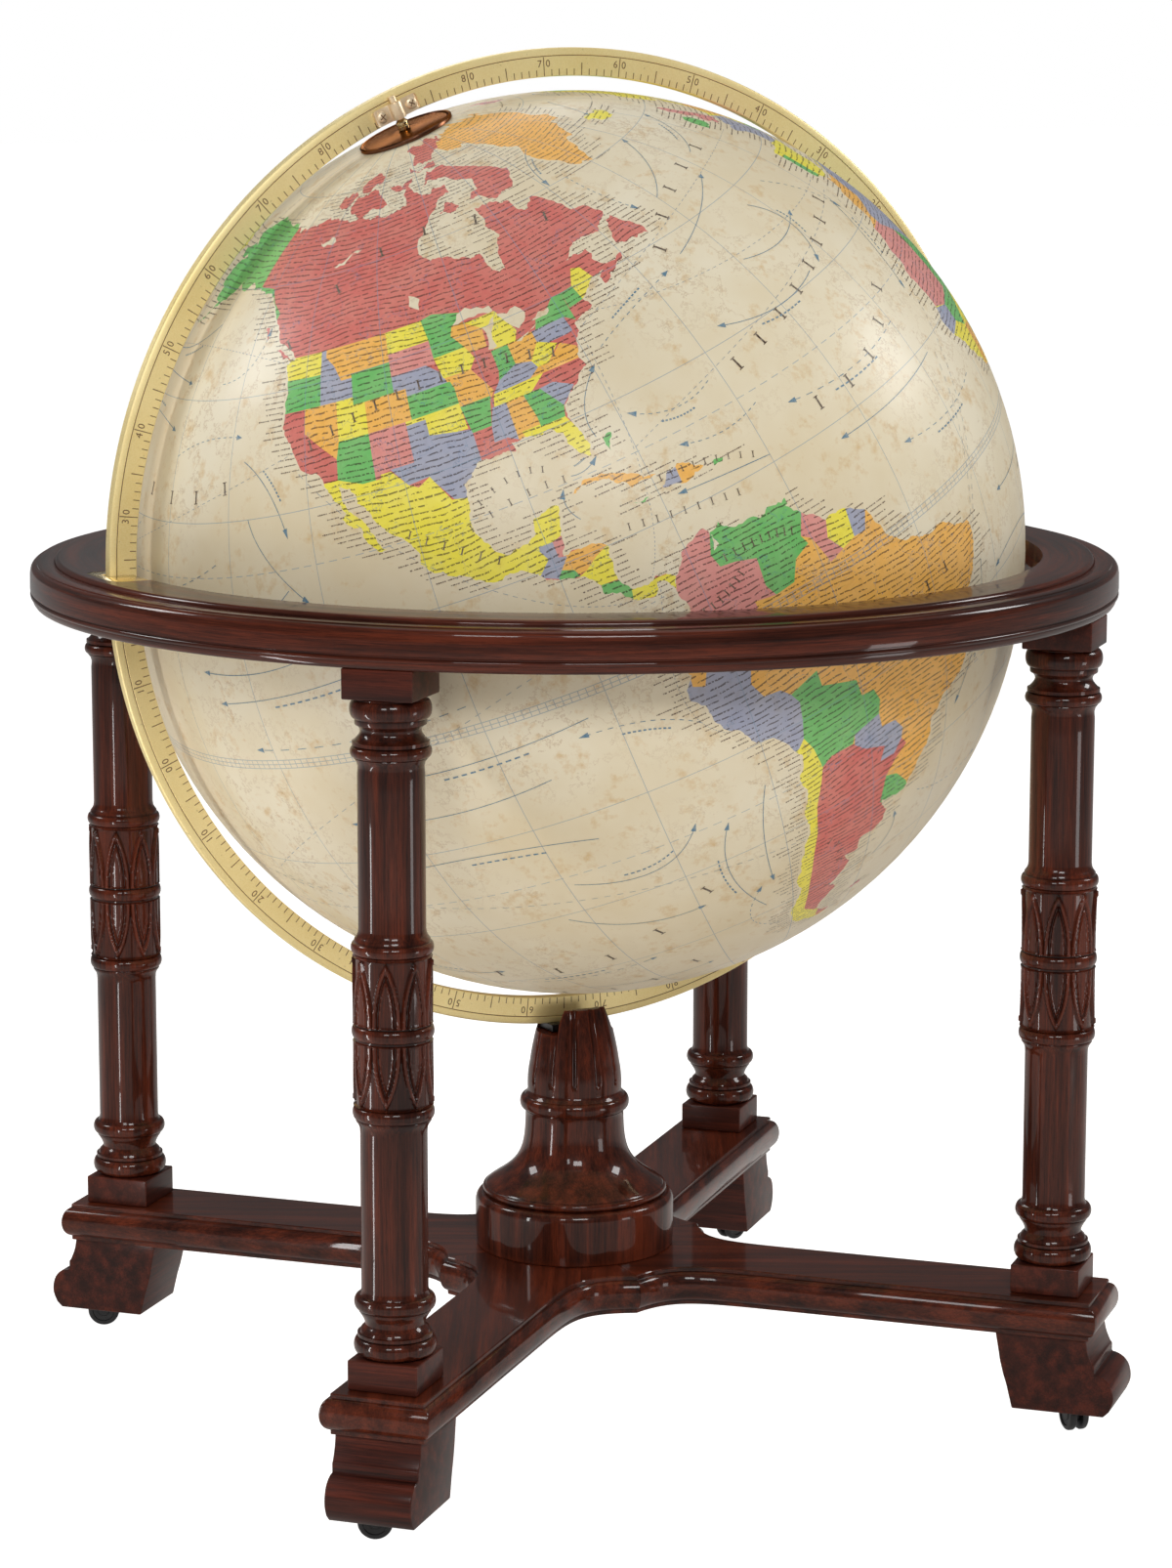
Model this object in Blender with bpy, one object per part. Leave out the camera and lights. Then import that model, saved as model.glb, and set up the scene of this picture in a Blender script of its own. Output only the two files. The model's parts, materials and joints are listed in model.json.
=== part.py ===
"""Floor-standing globe in a four-column mahogany stand.

Frame: origin at the centre of the footprint on the floor, +Z up.  The meridian
ring stands in the XZ plane, its graduated face turned to -Y, and the north pole
leans towards -X.  The four arms and columns stand on the diagonals.
"""
import math

import bmesh
import bpy
from mathutils import Matrix, Vector

MM = 0.001

# ---------------------------------------------------------------- driving sizes
GAP = 0.3 * MM                     # between pieces that touch

# facets around the turned pieces
BALL_STEPS = 28
RING_STEPS = 60
HORIZON_STEPS = 48
PEDESTAL_STEPS = 24
COLUMN_STEPS = 12
SMALL_STEPS = 12
DIAL_STEPS = 20
WHEEL_STEPS = 16

BALL_RADIUS = 406.4 * MM           # a 32 inch ball
BALL_WALL = 4.0 * MM
AXIS_TILT = math.radians(23.8)     # pole leaning from the vertical at rest

RING_CLEARANCE = 12.6 * MM         # ball to the meridian's inner edge
RING_HEIGHT = 25.0 * MM            # radial
RING_THICKNESS = 11.0 * MM
RING_FACE_Y = 3.5 * MM             # graduated face, just behind the pole axis
RING_BEVEL = 1.2 * MM

HORIZON_CLEARANCE = 15.2 * MM      # ball to the horizon's inner edge
PANEL_WIDTH = 46.2 * MM            # raised inner board, radial
RIM_WIDTH = 22.2 * MM              # outer moulding, radial
HORIZON_DROP = 4.0 * MM            # board's top below the ball's centre
HORIZON_HEIGHT = 41.0 * MM
RIM_DROP = 4.2 * MM                # rim top below the board's top
SLOT_CLEARANCE = 1.5 * MM          # around the meridian in the horizon
PLATE_WIDTH = 73.0 * MM            # brass slot plates, across the slot
PLATE_REACH = 35.0 * MM            # from the inner edge outwards
PLATE_THICKNESS = 2.0 * MM
PLATE_CHAMFER = 9.0 * MM

ARM_TOP_Z = 128.0 * MM
ARM_HEIGHT = 35.0 * MM
ARM_OVERHANG = 43.7 * MM           # column axis to the end of the flat top
ARM_HALF_WIDTH = 42.0 * MM
ARM_ROOT = 91.5 * MM               # where the mitres meet the outside
ARM_SWEEP = 18.6 * MM              # how quickly the root narrows
MOULDING_BULGE = 7.5 * MM
MOULDING_FILLET = 4.0 * MM

FOOT_HALF_WIDTH = 38.5 * MM
FOOT_BOTTOM_Z = 23.0 * MM
FOOT_DEPTH = 85.7 * MM             # from its back to the arm's end, at the top
FOOT_BACK_SLOPE = 16.0 * MM        # how far the back leans outwards going down
FOOT_SCROLL = 22.6 * MM            # scroll's reach beyond the arm's end

CASTER_INSET = 25.7 * MM           # swivel axis inside the arm's end
WHEEL_RADIUS = 15.0 * MM
WHEEL_WIDTH = 6.5 * MM
WHEEL_SPACING = 5.0 * MM           # between the two treads
WHEEL_TRAIL = 11.0 * MM
WHEEL_CLEARANCE = 2.0 * MM         # above the treads and around their sweep
AXLE_RADIUS = 3.0 * MM
CAP_THICKNESS = 2.5 * MM
STEM_RADIUS = 4.0 * MM
STEM_LENGTH = 30.0 * MM
STEM_CLEARANCE = 0.1 * MM

COLUMN_INSET = 32.4 * MM           # column axis outside the horizon's inner edge
COLUMN_RADIUS = 27.9 * MM          # plain shaft
BLOCK_SIDE = 62.0 * MM
BLOCK_HEIGHT = 25.7 * MM
BLOCK_BEVEL = 1.2 * MM

PEDESTAL_RADIUS = 91.9 * MM
PEDESTAL_BASE_HEIGHT = 35.0 * MM
PEDESTAL_HEIGHT = 222.0 * MM
SHOULDER_RADIUS = 82.0 * MM        # top of the quarter round
NECK_RADIUS = 45.4 * MM
NECK_HEIGHT = 90.0 * MM            # above the base's top
BELL_SWEEP = 20.0 * MM             # how quickly the bell narrows to the neck
BULB_RADIUS = 43.2 * MM
BULB_TOP_RADIUS = 28.8 * MM
CRADLE_DEPTH = 14.0 * MM           # meridian's lowest point below the top
CRADLE_WIDTH = 41.0 * MM           # slot in the pedestal's top
PAD_WIDTH = 30.0 * MM
PAD_THICKNESS = 5.0 * MM
BOLT_RADIUS = 5.0 * MM
BOLT_CLEARANCE = 1.0 * MM
BOLT_HEAD_RADIUS = 10.0 * MM
BOLT_HEAD_HEIGHT = 6.0 * MM
BOLT_REACH = 70.0 * MM             # into the turned bell
HUB_PLATE_SIDE = 150.0 * MM
HUB_PLATE_THICKNESS = 6.0 * MM

PIN_RADIUS = 3.0 * MM
PIN_CLEARANCE = 0.2 * MM
COLLAR_RADIUS = 5.5 * MM
BRACKET_LENGTH = 44.0 * MM
BRACKET_HEIGHT = 15.0 * MM
BRACKET_THICKNESS = 3.0 * MM
BRACKET_INSET = 0.4 * MM           # outside the ring's inner edge
BRACKET_BOSS_RADIUS = 6.2 * MM
SCREW_SPACING = 30.0 * MM
SCREW_SHANK_RADIUS = 2.0 * MM
SCREW_HEAD_RADIUS = 4.6 * MM
SCREW_HEAD_HEIGHT = 2.0 * MM
SCREW_DEPTH = 8.0 * MM
DIAL_RADIUS = 43.0 * MM
DIAL_THICKNESS = 2.0 * MM
BUSH_RADIUS = 7.0 * MM
BUSH_FLANGE = 12.0 * MM
BUSH_LENGTH = 14.0 * MM
HOOP_HEIGHT = 24.0 * MM
HOOP_WALL = 3.0 * MM
HOOP_CLEARANCE = 4.0 * MM          # inside the faceted shells

# ---------------------------------------------------------------- tied sizes
RING_INNER = BALL_RADIUS + RING_CLEARANCE
RING_OUTER = RING_INNER + RING_HEIGHT
RING_BACK_Y = RING_FACE_Y + RING_THICKNESS
RING_MIDDLE_Y = RING_FACE_Y + RING_THICKNESS / 2
PANEL_INNER = BALL_RADIUS + HORIZON_CLEARANCE
PANEL_OUTER = PANEL_INNER + PANEL_WIDTH
RIM_INNER = PANEL_OUTER + GAP
RIM_OUTER = RIM_INNER + RIM_WIDTH
COLUMN_RADIAL = PANEL_INNER + COLUMN_INSET
ARM_LENGTH = COLUMN_RADIAL + ARM_OVERHANG
ARM_BOTTOM_Z = ARM_TOP_Z - ARM_HEIGHT
FOOT_TOP_Z = ARM_BOTTOM_Z - GAP
FOOT_HEIGHT = FOOT_TOP_Z - FOOT_BOTTOM_Z
CASTER_ALONG = ARM_LENGTH - CASTER_INSET
RECESS_RADIUS = WHEEL_TRAIL + WHEEL_RADIUS + WHEEL_CLEARANCE
RECESS_TOP_Z = 2 * WHEEL_RADIUS + WHEEL_CLEARANCE + CAP_THICKNESS
PEDESTAL_SPLIT_Z = ARM_TOP_Z + PEDESTAL_BASE_HEIGHT
PEDESTAL_TOP_Z = ARM_TOP_Z + PEDESTAL_HEIGHT
RING_BOTTOM_Z = PEDESTAL_TOP_Z - CRADLE_DEPTH
CRADLE_FLOOR_Z = RING_BOTTOM_Z - GAP - PAD_THICKNESS
BALL_CENTRE_Z = RING_BOTTOM_Z + RING_OUTER
HORIZON_TOP_Z = BALL_CENTRE_Z - HORIZON_DROP
HORIZON_BOTTOM_Z = HORIZON_TOP_Z - HORIZON_HEIGHT
RIM_TOP_Z = HORIZON_TOP_Z - RIM_DROP
LOWER_BLOCK_Z = ARM_TOP_Z + GAP
UPPER_BLOCK_Z = HORIZON_BOTTOM_Z - GAP - BLOCK_HEIGHT
COLUMN_FOOT_Z = LOWER_BLOCK_Z + BLOCK_HEIGHT + GAP
COLUMN_HEAD_Z = UPPER_BLOCK_Z - GAP
BALL_CENTRE = Vector((0.0, 0.0, BALL_CENTRE_Z))
POLE = Vector((-math.sin(AXIS_TILT), 0.0, math.cos(AXIS_TILT)))

ARM_NAMES = {
    "front_left": math.radians(225),
    "front_right": math.radians(315),
    "back_right": math.radians(45),
    "back_left": math.radians(135),
}
CASTER_HEADINGS = {                # where each wheel pair trails at rest
    "front_left": math.radians(154),
    "front_right": math.radians(262),
    "back_right": math.radians(20),
    "back_left": math.radians(154),
}

# name: colour, roughness, metallic
FINISHES = {
    "mahogany": ((0.075, 0.018, 0.012, 1.0), 0.18, 0.0),
    "mahogany_satin": ((0.085, 0.035, 0.028, 1.0), 0.32, 0.0),
    "brass": ((0.80, 0.64, 0.28, 1.0), 0.28, 1.0),
    "bronze": ((0.62, 0.36, 0.20, 1.0), 0.22, 1.0),
    "globe_shell": ((0.80, 0.70, 0.48, 1.0), 0.35, 0.0),
    "black_plastic": ((0.012, 0.012, 0.013, 1.0), 0.35, 0.0),
    "steel": ((0.55, 0.55, 0.56, 1.0), 0.35, 1.0),
}


# ---------------------------------------------------------------- helpers
def clear_scene():
    for old in list(bpy.data.objects):
        bpy.data.objects.remove(old, do_unlink=True)


def make_material(name):
    colour, roughness, metallic = FINISHES[name]
    material = bpy.data.materials.new(name)
    material.use_nodes = True
    shader = material.node_tree.nodes["Principled BSDF"]
    shader.inputs["Base Color"].default_value = colour
    shader.inputs["Roughness"].default_value = roughness
    shader.inputs["Metallic"].default_value = metallic
    material.diffuse_color = colour
    return material


def add_object(name, bm, finish, sharp_angle=35.0):
    """Turn a bmesh into a named object with its own material."""
    bmesh.ops.recalc_face_normals(bm, faces=bm.faces)
    mesh = bpy.data.meshes.new(name)
    bm.to_mesh(mesh)
    bm.free()
    mesh.shade_smooth()
    mesh.set_sharp_from_angle(angle=math.radians(sharp_angle))
    mesh.materials.append(make_material(finish))
    item = bpy.data.objects.new(name, mesh)
    bpy.context.scene.collection.objects.link(item)
    return item


def place(item, matrix, parent=None):
    item.parent = parent
    item.matrix_local = matrix
    return item


def cut(item, bm, name):
    """Cut a shape, given in the object's own frame, out of the object."""
    bmesh.ops.recalc_face_normals(bm, faces=bm.faces)
    mesh = bpy.data.meshes.new(name)
    bm.to_mesh(mesh)
    bm.free()
    cutter = bpy.data.objects.new(name, mesh)
    bpy.context.scene.collection.objects.link(cutter)
    cutter.parent = item
    cutter.hide_render = True
    cutter.display_type = "WIRE"
    boolean = item.modifiers.new(name, "BOOLEAN")
    boolean.operation = "DIFFERENCE"
    boolean.solver = "EXACT"
    boolean.object = cutter
    return cutter


def turned(profile, steps, closed=False):
    """Turn a list of (radius, z) points about Z.  A closed profile makes a ring."""
    bm = bmesh.new()
    rings = []
    for radius, z in profile:
        ring = []
        for step in range(steps):
            angle = 2 * math.pi * step / steps
            ring.append(bm.verts.new((radius * math.cos(angle), radius * math.sin(angle), z)))
        rings.append(ring)
    count = len(rings) if closed else len(rings) - 1
    for index in range(count):
        lower = rings[index]
        upper = rings[(index + 1) % len(rings)]
        for step in range(steps):
            after = (step + 1) % steps
            bm.faces.new((lower[step], lower[after], upper[after], upper[step]))
    if not closed:
        bm.faces.new(list(reversed(rings[0])))
        bm.faces.new(rings[-1])
    return bm


def stacked(outlines):
    """Skin a stack of outlines, each a list of the same number of points."""
    bm = bmesh.new()
    loops = [[bm.verts.new(point) for point in outline] for outline in outlines]
    size = len(loops[0])
    for lower, upper in zip(loops, loops[1:]):
        for index in range(size):
            after = (index + 1) % size
            bm.faces.new((lower[index], lower[after], upper[after], upper[index]))
    bm.faces.new(list(reversed(loops[0])))
    bm.faces.new(loops[-1])
    return bm


def box(low, high):
    bm = bmesh.new()
    bmesh.ops.create_cube(bm, size=1.0)
    for vert in bm.verts:
        vert.co = Vector([(high[i] + low[i]) / 2 + vert.co[i] * (high[i] - low[i]) for i in range(3)])
    return bm


def bevelled_box(low, high, width):
    bm = box(low, high)
    bmesh.ops.bevel(bm, geom=bm.edges[:], offset=width, segments=1, affect="EDGES")
    return bm


def rod(radius, low_z, high_z, steps=16):
    return turned([(radius, low_z), (radius, high_z)], steps)


def arc(centre_r, centre_z, radius_r, radius_z, start, end, steps):
    """Points (radius, z) on an elliptic arc, angles in degrees."""
    points = []
    for step in range(steps + 1):
        angle = math.radians(start + (end - start) * step / steps)
        points.append((centre_r + radius_r * math.cos(angle), centre_z + radius_z * math.sin(angle)))
    return points


def pole_frame(sign):
    """Matrix whose Z runs out along the pole, Y staying world Y."""
    outward = POLE * sign
    side = Vector((0.0, 1.0, 0.0))
    across = side.cross(outward)
    matrix = Matrix((across, side, outward)).transposed().to_4x4()
    matrix.translation = BALL_CENTRE
    return matrix


# ---------------------------------------------------------------- base
def sweep_half_width(along):
    """Half width of an arm: a concave sweep from the mitre to the straight part."""
    return ARM_HALF_WIDTH + (ARM_ROOT - ARM_HALF_WIDTH) * math.exp(-(along - ARM_ROOT) / ARM_SWEEP)


def arm_half_outline(offset):
    """One side of an arm's plan, from the mitre's outer end to the arm's end."""
    reach = 4.6 * ARM_SWEEP
    points = []
    for step in range(9):
        along = ARM_ROOT + reach * (step / 8) ** 1.4
        slope = -(sweep_half_width(along) - ARM_HALF_WIDTH) / ARM_SWEEP
        normal = Vector((-slope, 1.0)).normalized()
        if step == 0:
            shift = offset / (normal.x + normal.y)
            points.append((along + shift, sweep_half_width(along) + shift))
        else:
            points.append((along + normal.x * offset, sweep_half_width(along) + normal.y * offset))
    points.append((ARM_LENGTH + offset, ARM_HALF_WIDTH + offset))
    return points


def arm_outline(offset, z):
    mitre = GAP / math.sqrt(2)
    tip = BOLT_RADIUS + BOLT_CLEARANCE + 1.0 * MM
    half = arm_half_outline(offset)
    left = [(along, across - mitre if index == 0 else across) for index, (along, across) in enumerate(half)]
    outline = [(tip, tip - mitre)] + left
    outline += [(along, -across) for along, across in reversed(outline)]
    return [(along, across, z) for along, across in outline]


def make_arm(name, angle):
    """A mitred arm with a half-round moulding along its edge."""
    low = ARM_BOTTOM_Z + MOULDING_FILLET
    high = ARM_TOP_Z - MOULDING_FILLET
    levels = [(0.0, ARM_BOTTOM_Z)]
    for radius, z in arc(0.0, (low + high) / 2, MOULDING_BULGE, (high - low) / 2, -90, 90, 6):
        levels.append((max(radius, 0.0), z))
    levels.append((0.0, ARM_TOP_Z))
    arm = add_object(f"base_arm_{name}", stacked([arm_outline(offset, z) for offset, z in levels]), "mahogany")
    place(arm, Matrix.Rotation(angle, 4, "Z"))
    return arm


def foot_profile():
    """Side view of a foot as (along, z), from the bottom front round to the top."""
    toe = ARM_LENGTH
    back = toe - FOOT_DEPTH
    slope = FOOT_BACK_SLOPE
    # reach beyond the arm's end or the back, and height as a share of the foot's
    front = [(-3.0 * MM, 1.0), (-1.8 * MM, 0.89), (0.6 * MM, 0.775), (3.6 * MM, 0.69)]
    front += [(4.8 * MM, 0.675), (4.8 * MM, 0.575), (0.38 * FOOT_SCROLL, 0.552), (0.6 * FOOT_SCROLL, 0.516)]
    front += [(0.8 * FOOT_SCROLL, 0.459), (0.94 * FOOT_SCROLL, 0.373), (FOOT_SCROLL, 0.258)]
    front += [(0.94 * FOOT_SCROLL, 0.158), (0.83 * FOOT_SCROLL, 0.079), (0.63 * FOOT_SCROLL, 0.0)]
    rear = [(slope, 0.0), (0.68 * slope, 0.30), (0.29 * slope, 0.617), (0.0, 1.0)]
    points = [(toe + reach, share) for reach, share in reversed(front)]
    points += [(back + reach, share) for reach, share in reversed(rear)]
    return [(along, FOOT_BOTTOM_Z + share * FOOT_HEIGHT) for along, share in points]


def make_foot(name, angle):
    """A bracket foot: a scrolled profile cut across, with a caster recess below."""
    sides = []
    for across in (-FOOT_HALF_WIDTH, FOOT_HALF_WIDTH):
        sides.append([(along, across, z) for along, z in foot_profile()])
    foot = add_object(f"foot_{name}", stacked(sides), "mahogany_satin")
    place(foot, Matrix.Rotation(angle, 4, "Z"))
    bore_top = RECESS_TOP_Z + STEM_LENGTH + 2 * MM
    bore_radius = STEM_RADIUS + STEM_CLEARANCE
    profile = [(RECESS_RADIUS, FOOT_BOTTOM_Z - 5 * MM), (RECESS_RADIUS, RECESS_TOP_Z)]
    profile += [(bore_radius, RECESS_TOP_Z), (bore_radius, bore_top)]
    recess = turned(profile, 28)
    bmesh.ops.translate(recess, verts=recess.verts, vec=(CASTER_ALONG, 0, 0))
    cut(foot, recess, f"cut_recess_{name}")
    return foot


# ---------------------------------------------------------------- casters
def make_caster(name, angle):
    """Twin-wheel swivel caster: a stem and web, and a pair of wheels on one axle."""
    swivel = bpy.data.objects.new(f"swivel_{name}", None)
    bpy.context.scene.collection.objects.link(swivel)
    centre = Matrix.Rotation(angle, 4, "Z") @ Vector((CASTER_ALONG, 0, 0))
    heading = CASTER_HEADINGS[name]
    swivel.matrix_world = Matrix.Translation(centre) @ Matrix.Rotation(heading, 4, "Z")

    web = WHEEL_SPACING / 2 - 0.4 * MM
    cap_top = RECESS_TOP_Z - GAP
    cap_bottom = 2 * WHEEL_RADIUS + 0.8 * MM
    bore = AXLE_RADIUS + PIN_CLEARANCE
    axle_at = Vector((WHEEL_TRAIL, 0, WHEEL_RADIUS))

    outline = [(WHEEL_TRAIL + 9.0 * MM, cap_top), (-8.0 * MM, cap_top), (-8.0 * MM, cap_bottom - 3 * MM)]
    outline += arc(axle_at.x, axle_at.z, 8.0 * MM, 8.0 * MM, 205, 340, 6)
    plate = stacked([[(x, y, z) for x, z in outline] for y in (-web, web)])
    body = add_object(f"caster_body_{name}", plate, "black_plastic")
    body.parent = swivel
    hole = rod(bore, -2 * web, 2 * web, 16)
    turn = Matrix.Translation(axle_at) @ Matrix.Rotation(math.radians(90), 4, "X")
    bmesh.ops.transform(hole, matrix=turn, verts=hole.verts)
    cut(body, hole, f"cut_axle_{name}")
    stem = turned([(8.0 * MM, cap_bottom), (8.0 * MM, cap_top)]
                  + [(STEM_RADIUS, cap_top), (STEM_RADIUS, cap_top + STEM_LENGTH)], 16)
    bmesh.ops.recalc_face_normals(stem, faces=stem.faces)
    stem_mesh = bpy.data.meshes.new(f"stem_{name}")
    stem.to_mesh(stem_mesh)
    stem.free()
    stem_item = bpy.data.objects.new(f"stem_{name}", stem_mesh)
    bpy.context.scene.collection.objects.link(stem_item)
    stem_item.parent = body
    stem_item.hide_render = True
    stem_item.display_type = "WIRE"
    union = body.modifiers.new("stem", "BOOLEAN")
    union.operation = "UNION"
    union.solver = "EXACT"
    union.object = stem_item

    inner = WHEEL_SPACING / 2
    outer = inner + WHEEL_WIDTH
    shoulder = 1.5 * MM
    half = [(AXLE_RADIUS, inner), (WHEEL_RADIUS, inner), (WHEEL_RADIUS, outer - shoulder)]
    half += [(WHEEL_RADIUS - shoulder, outer)]
    profile = [(radius, -z) for radius, z in reversed(half)] + half
    wheels = turned(profile, WHEEL_STEPS)
    bmesh.ops.rotate(wheels, verts=wheels.verts, matrix=Matrix.Rotation(math.radians(90), 3, "X"))
    pair = add_object(f"caster_wheels_{name}", wheels, "black_plastic")
    place(pair, Matrix.Translation(axle_at), swivel)
    return body, pair


# ---------------------------------------------------------------- columns
def column_profile():
    """The turning of a column as (radius, z), foot to head."""
    foot = COLUMN_FOOT_Z
    head = COLUMN_HEAD_Z
    middle = (foot + head) / 2
    # radius beyond the plain shaft, and height from the foot, the middle and the head
    base = [(0.0, 0.0), (4.6, 4.5), (6.8, 10.3), (4.6, 16.2), (3.6, 18.7), (-2.8, 26.2)]
    base += [(2.4, 38.2), (6.2, 46.1), (3.6, 51.2), (0.0, 55.7)]
    sleeve = [(0.0, -82.5), (6.0, -69.0), (5.4, -63.5), (5.4, -9.5), (6.0, -0.5), (5.4, 5.5)]
    sleeve += [(5.4, 63.5), (6.3, 70.5), (3.4, 76.0), (0.0, 83.5)]
    cap = [(0.0, -59.7), (3.2, -49.7), (5.7, -44.5), (3.6, -36.7), (-2.9, -27.9)]
    cap += [(1.8, -18.2), (6.0, -9.2), (2.1, 0.0)]
    points = []
    for start, group in ((foot, base), (middle, sleeve), (head, cap)):
        points += [(COLUMN_RADIUS + extra * MM, start + height * MM) for extra, height in group]
    return points


def make_column(name, angle):
    """A turned column between its two square blocks, doweled at both ends."""
    turn = Matrix.Rotation(angle, 4, "Z") @ Matrix.Translation((COLUMN_RADIAL, 0, 0))
    half = BLOCK_SIDE / 2
    lower = bevelled_box((-half, -half, LOWER_BLOCK_Z), (half, half, LOWER_BLOCK_Z + BLOCK_HEIGHT), BLOCK_BEVEL)
    upper = bevelled_box((-half, -half, UPPER_BLOCK_Z), (half, half, UPPER_BLOCK_Z + BLOCK_HEIGHT), BLOCK_BEVEL)
    place(add_object(f"lower_block_{name}", lower, "mahogany_satin"), turn)
    place(add_object(f"upper_block_{name}", upper, "mahogany_satin"), turn)
    column = add_object(f"column_{name}", turned(column_profile(), COLUMN_STEPS), "mahogany")
    place(column, turn)
    return column


# ---------------------------------------------------------------- horizon
def slot_cutter(sign):
    """The gap that lets the meridian through the horizon board."""
    start = sign * (PANEL_INNER - 20 * MM)
    end = sign * (RING_OUTER + 2 * SLOT_CLEARANCE)
    low_y = RING_FACE_Y - SLOT_CLEARANCE
    high_y = RING_BACK_Y + SLOT_CLEARANCE
    return box((min(start, end), low_y, HORIZON_BOTTOM_Z - 5 * MM), (max(start, end), high_y, HORIZON_TOP_Z + 5 * MM))


def plate_outline(sign, clearance, z):
    """A slot plate's outline: square to the slot, outer corners clipped."""
    inner = PANEL_INNER + 0.6 * MM
    outer = PANEL_INNER + PLATE_REACH + clearance
    half = PLATE_WIDTH / 2 + clearance
    clip = PLATE_CHAMFER
    if clearance > 0:
        inner = PANEL_INNER - 10 * MM
    points = [(inner, -half), (outer - clip, -half), (outer, -half + clip)]
    points += [(outer, half - clip), (outer - clip, half), (inner, half)]
    return [(sign * x, sign * y, z) for x, y in points]


def make_horizon():
    radius = 4.0 * MM
    outer_arc = arc(PANEL_OUTER - radius, HORIZON_TOP_Z - radius, radius, radius, 90, 0, 3)
    profile = [(PANEL_INNER, HORIZON_BOTTOM_Z), (PANEL_INNER, HORIZON_TOP_Z)] + outer_arc
    profile += [(PANEL_OUTER, HORIZON_BOTTOM_Z)]
    panel = add_object("horizon_panel", turned(profile, HORIZON_STEPS, closed=True), "mahogany")

    top = RIM_TOP_Z
    foot = HORIZON_BOTTOM_Z
    rim_profile = [(RIM_INNER, foot), (RIM_INNER, top)]
    rim_profile += arc(RIM_OUTER - 3.0 * MM, top - 3.0 * MM, 3.0 * MM, 3.0 * MM, 90, 0, 2)
    rim_profile += [(RIM_OUTER, foot + 12.0 * MM), (RIM_OUTER - 1.8 * MM, foot + 11.0 * MM)]
    rim_profile += [(RIM_OUTER, foot + 8.5 * MM), (RIM_OUTER - 1.8 * MM, foot + 6.0 * MM)]
    rim_profile += [(RIM_OUTER - 3.0 * MM, foot)]
    add_object("horizon_rim", turned(rim_profile, HORIZON_STEPS, closed=True), "mahogany")

    seat_z = HORIZON_TOP_Z - PLATE_THICKNESS - GAP
    for side, sign in (("left", -1), ("right", 1)):
        cut(panel, slot_cutter(sign), f"cut_slot_{side}")
        pocket = stacked([plate_outline(sign, GAP, z) for z in (seat_z, HORIZON_TOP_Z + 5 * MM)])
        cut(panel, pocket, f"cut_pocket_{side}")
        levels = (seat_z + GAP, HORIZON_TOP_Z - 0.1 * MM)
        plate = add_object(f"slot_plate_{side}", stacked([plate_outline(sign, 0.0, z) for z in levels]), "brass")
        cut(plate, slot_cutter(sign), f"cut_plate_{side}")
    return panel


# ---------------------------------------------------------------- pedestal
def bell_profile():
    """The turned bell and bulb as (radius, z), from its seat to its top."""
    seat = PEDESTAL_SPLIT_Z + GAP
    split = PEDESTAL_SPLIT_Z
    neck = split + NECK_HEIGHT
    top = PEDESTAL_TOP_Z
    round_height = 12.0 * MM
    points = [(PEDESTAL_RADIUS - 2.2 * MM, seat), (PEDESTAL_RADIUS - 0.6 * MM, seat + 2.5 * MM)]
    points += arc(SHOULDER_RADIUS, split + 9 * MM, PEDESTAL_RADIUS - 0.6 * MM - SHOULDER_RADIUS, round_height, 0, 90, 3)
    shoulder = split + 9 * MM + round_height
    for share in (0.04, 0.17, 0.3, 0.43, 0.7, 1.0):
        height = share * (neck - shoulder)
        radius = NECK_RADIUS + (SHOULDER_RADIUS - NECK_RADIUS) * math.exp(-(height / BELL_SWEEP) ** 1.3)
        points.append((radius, shoulder + height))
    points += [(NECK_RADIUS + 3.8 * MM, neck + 5 * MM), (NECK_RADIUS + 5.0 * MM, neck + 10.4 * MM)]
    points += [(NECK_RADIUS + 3.1 * MM, neck + 15.5 * MM), (NECK_RADIUS - 0.9 * MM, neck + 18.6 * MM)]
    bulb = neck + 25 * MM
    for share in (0.0, 0.25, 0.5, 0.8, 1.0):
        radius = BULB_RADIUS - (BULB_RADIUS - BULB_TOP_RADIUS) * share ** 1.8
        points.append((radius, bulb + share * (top - bulb)))
    return points


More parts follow.
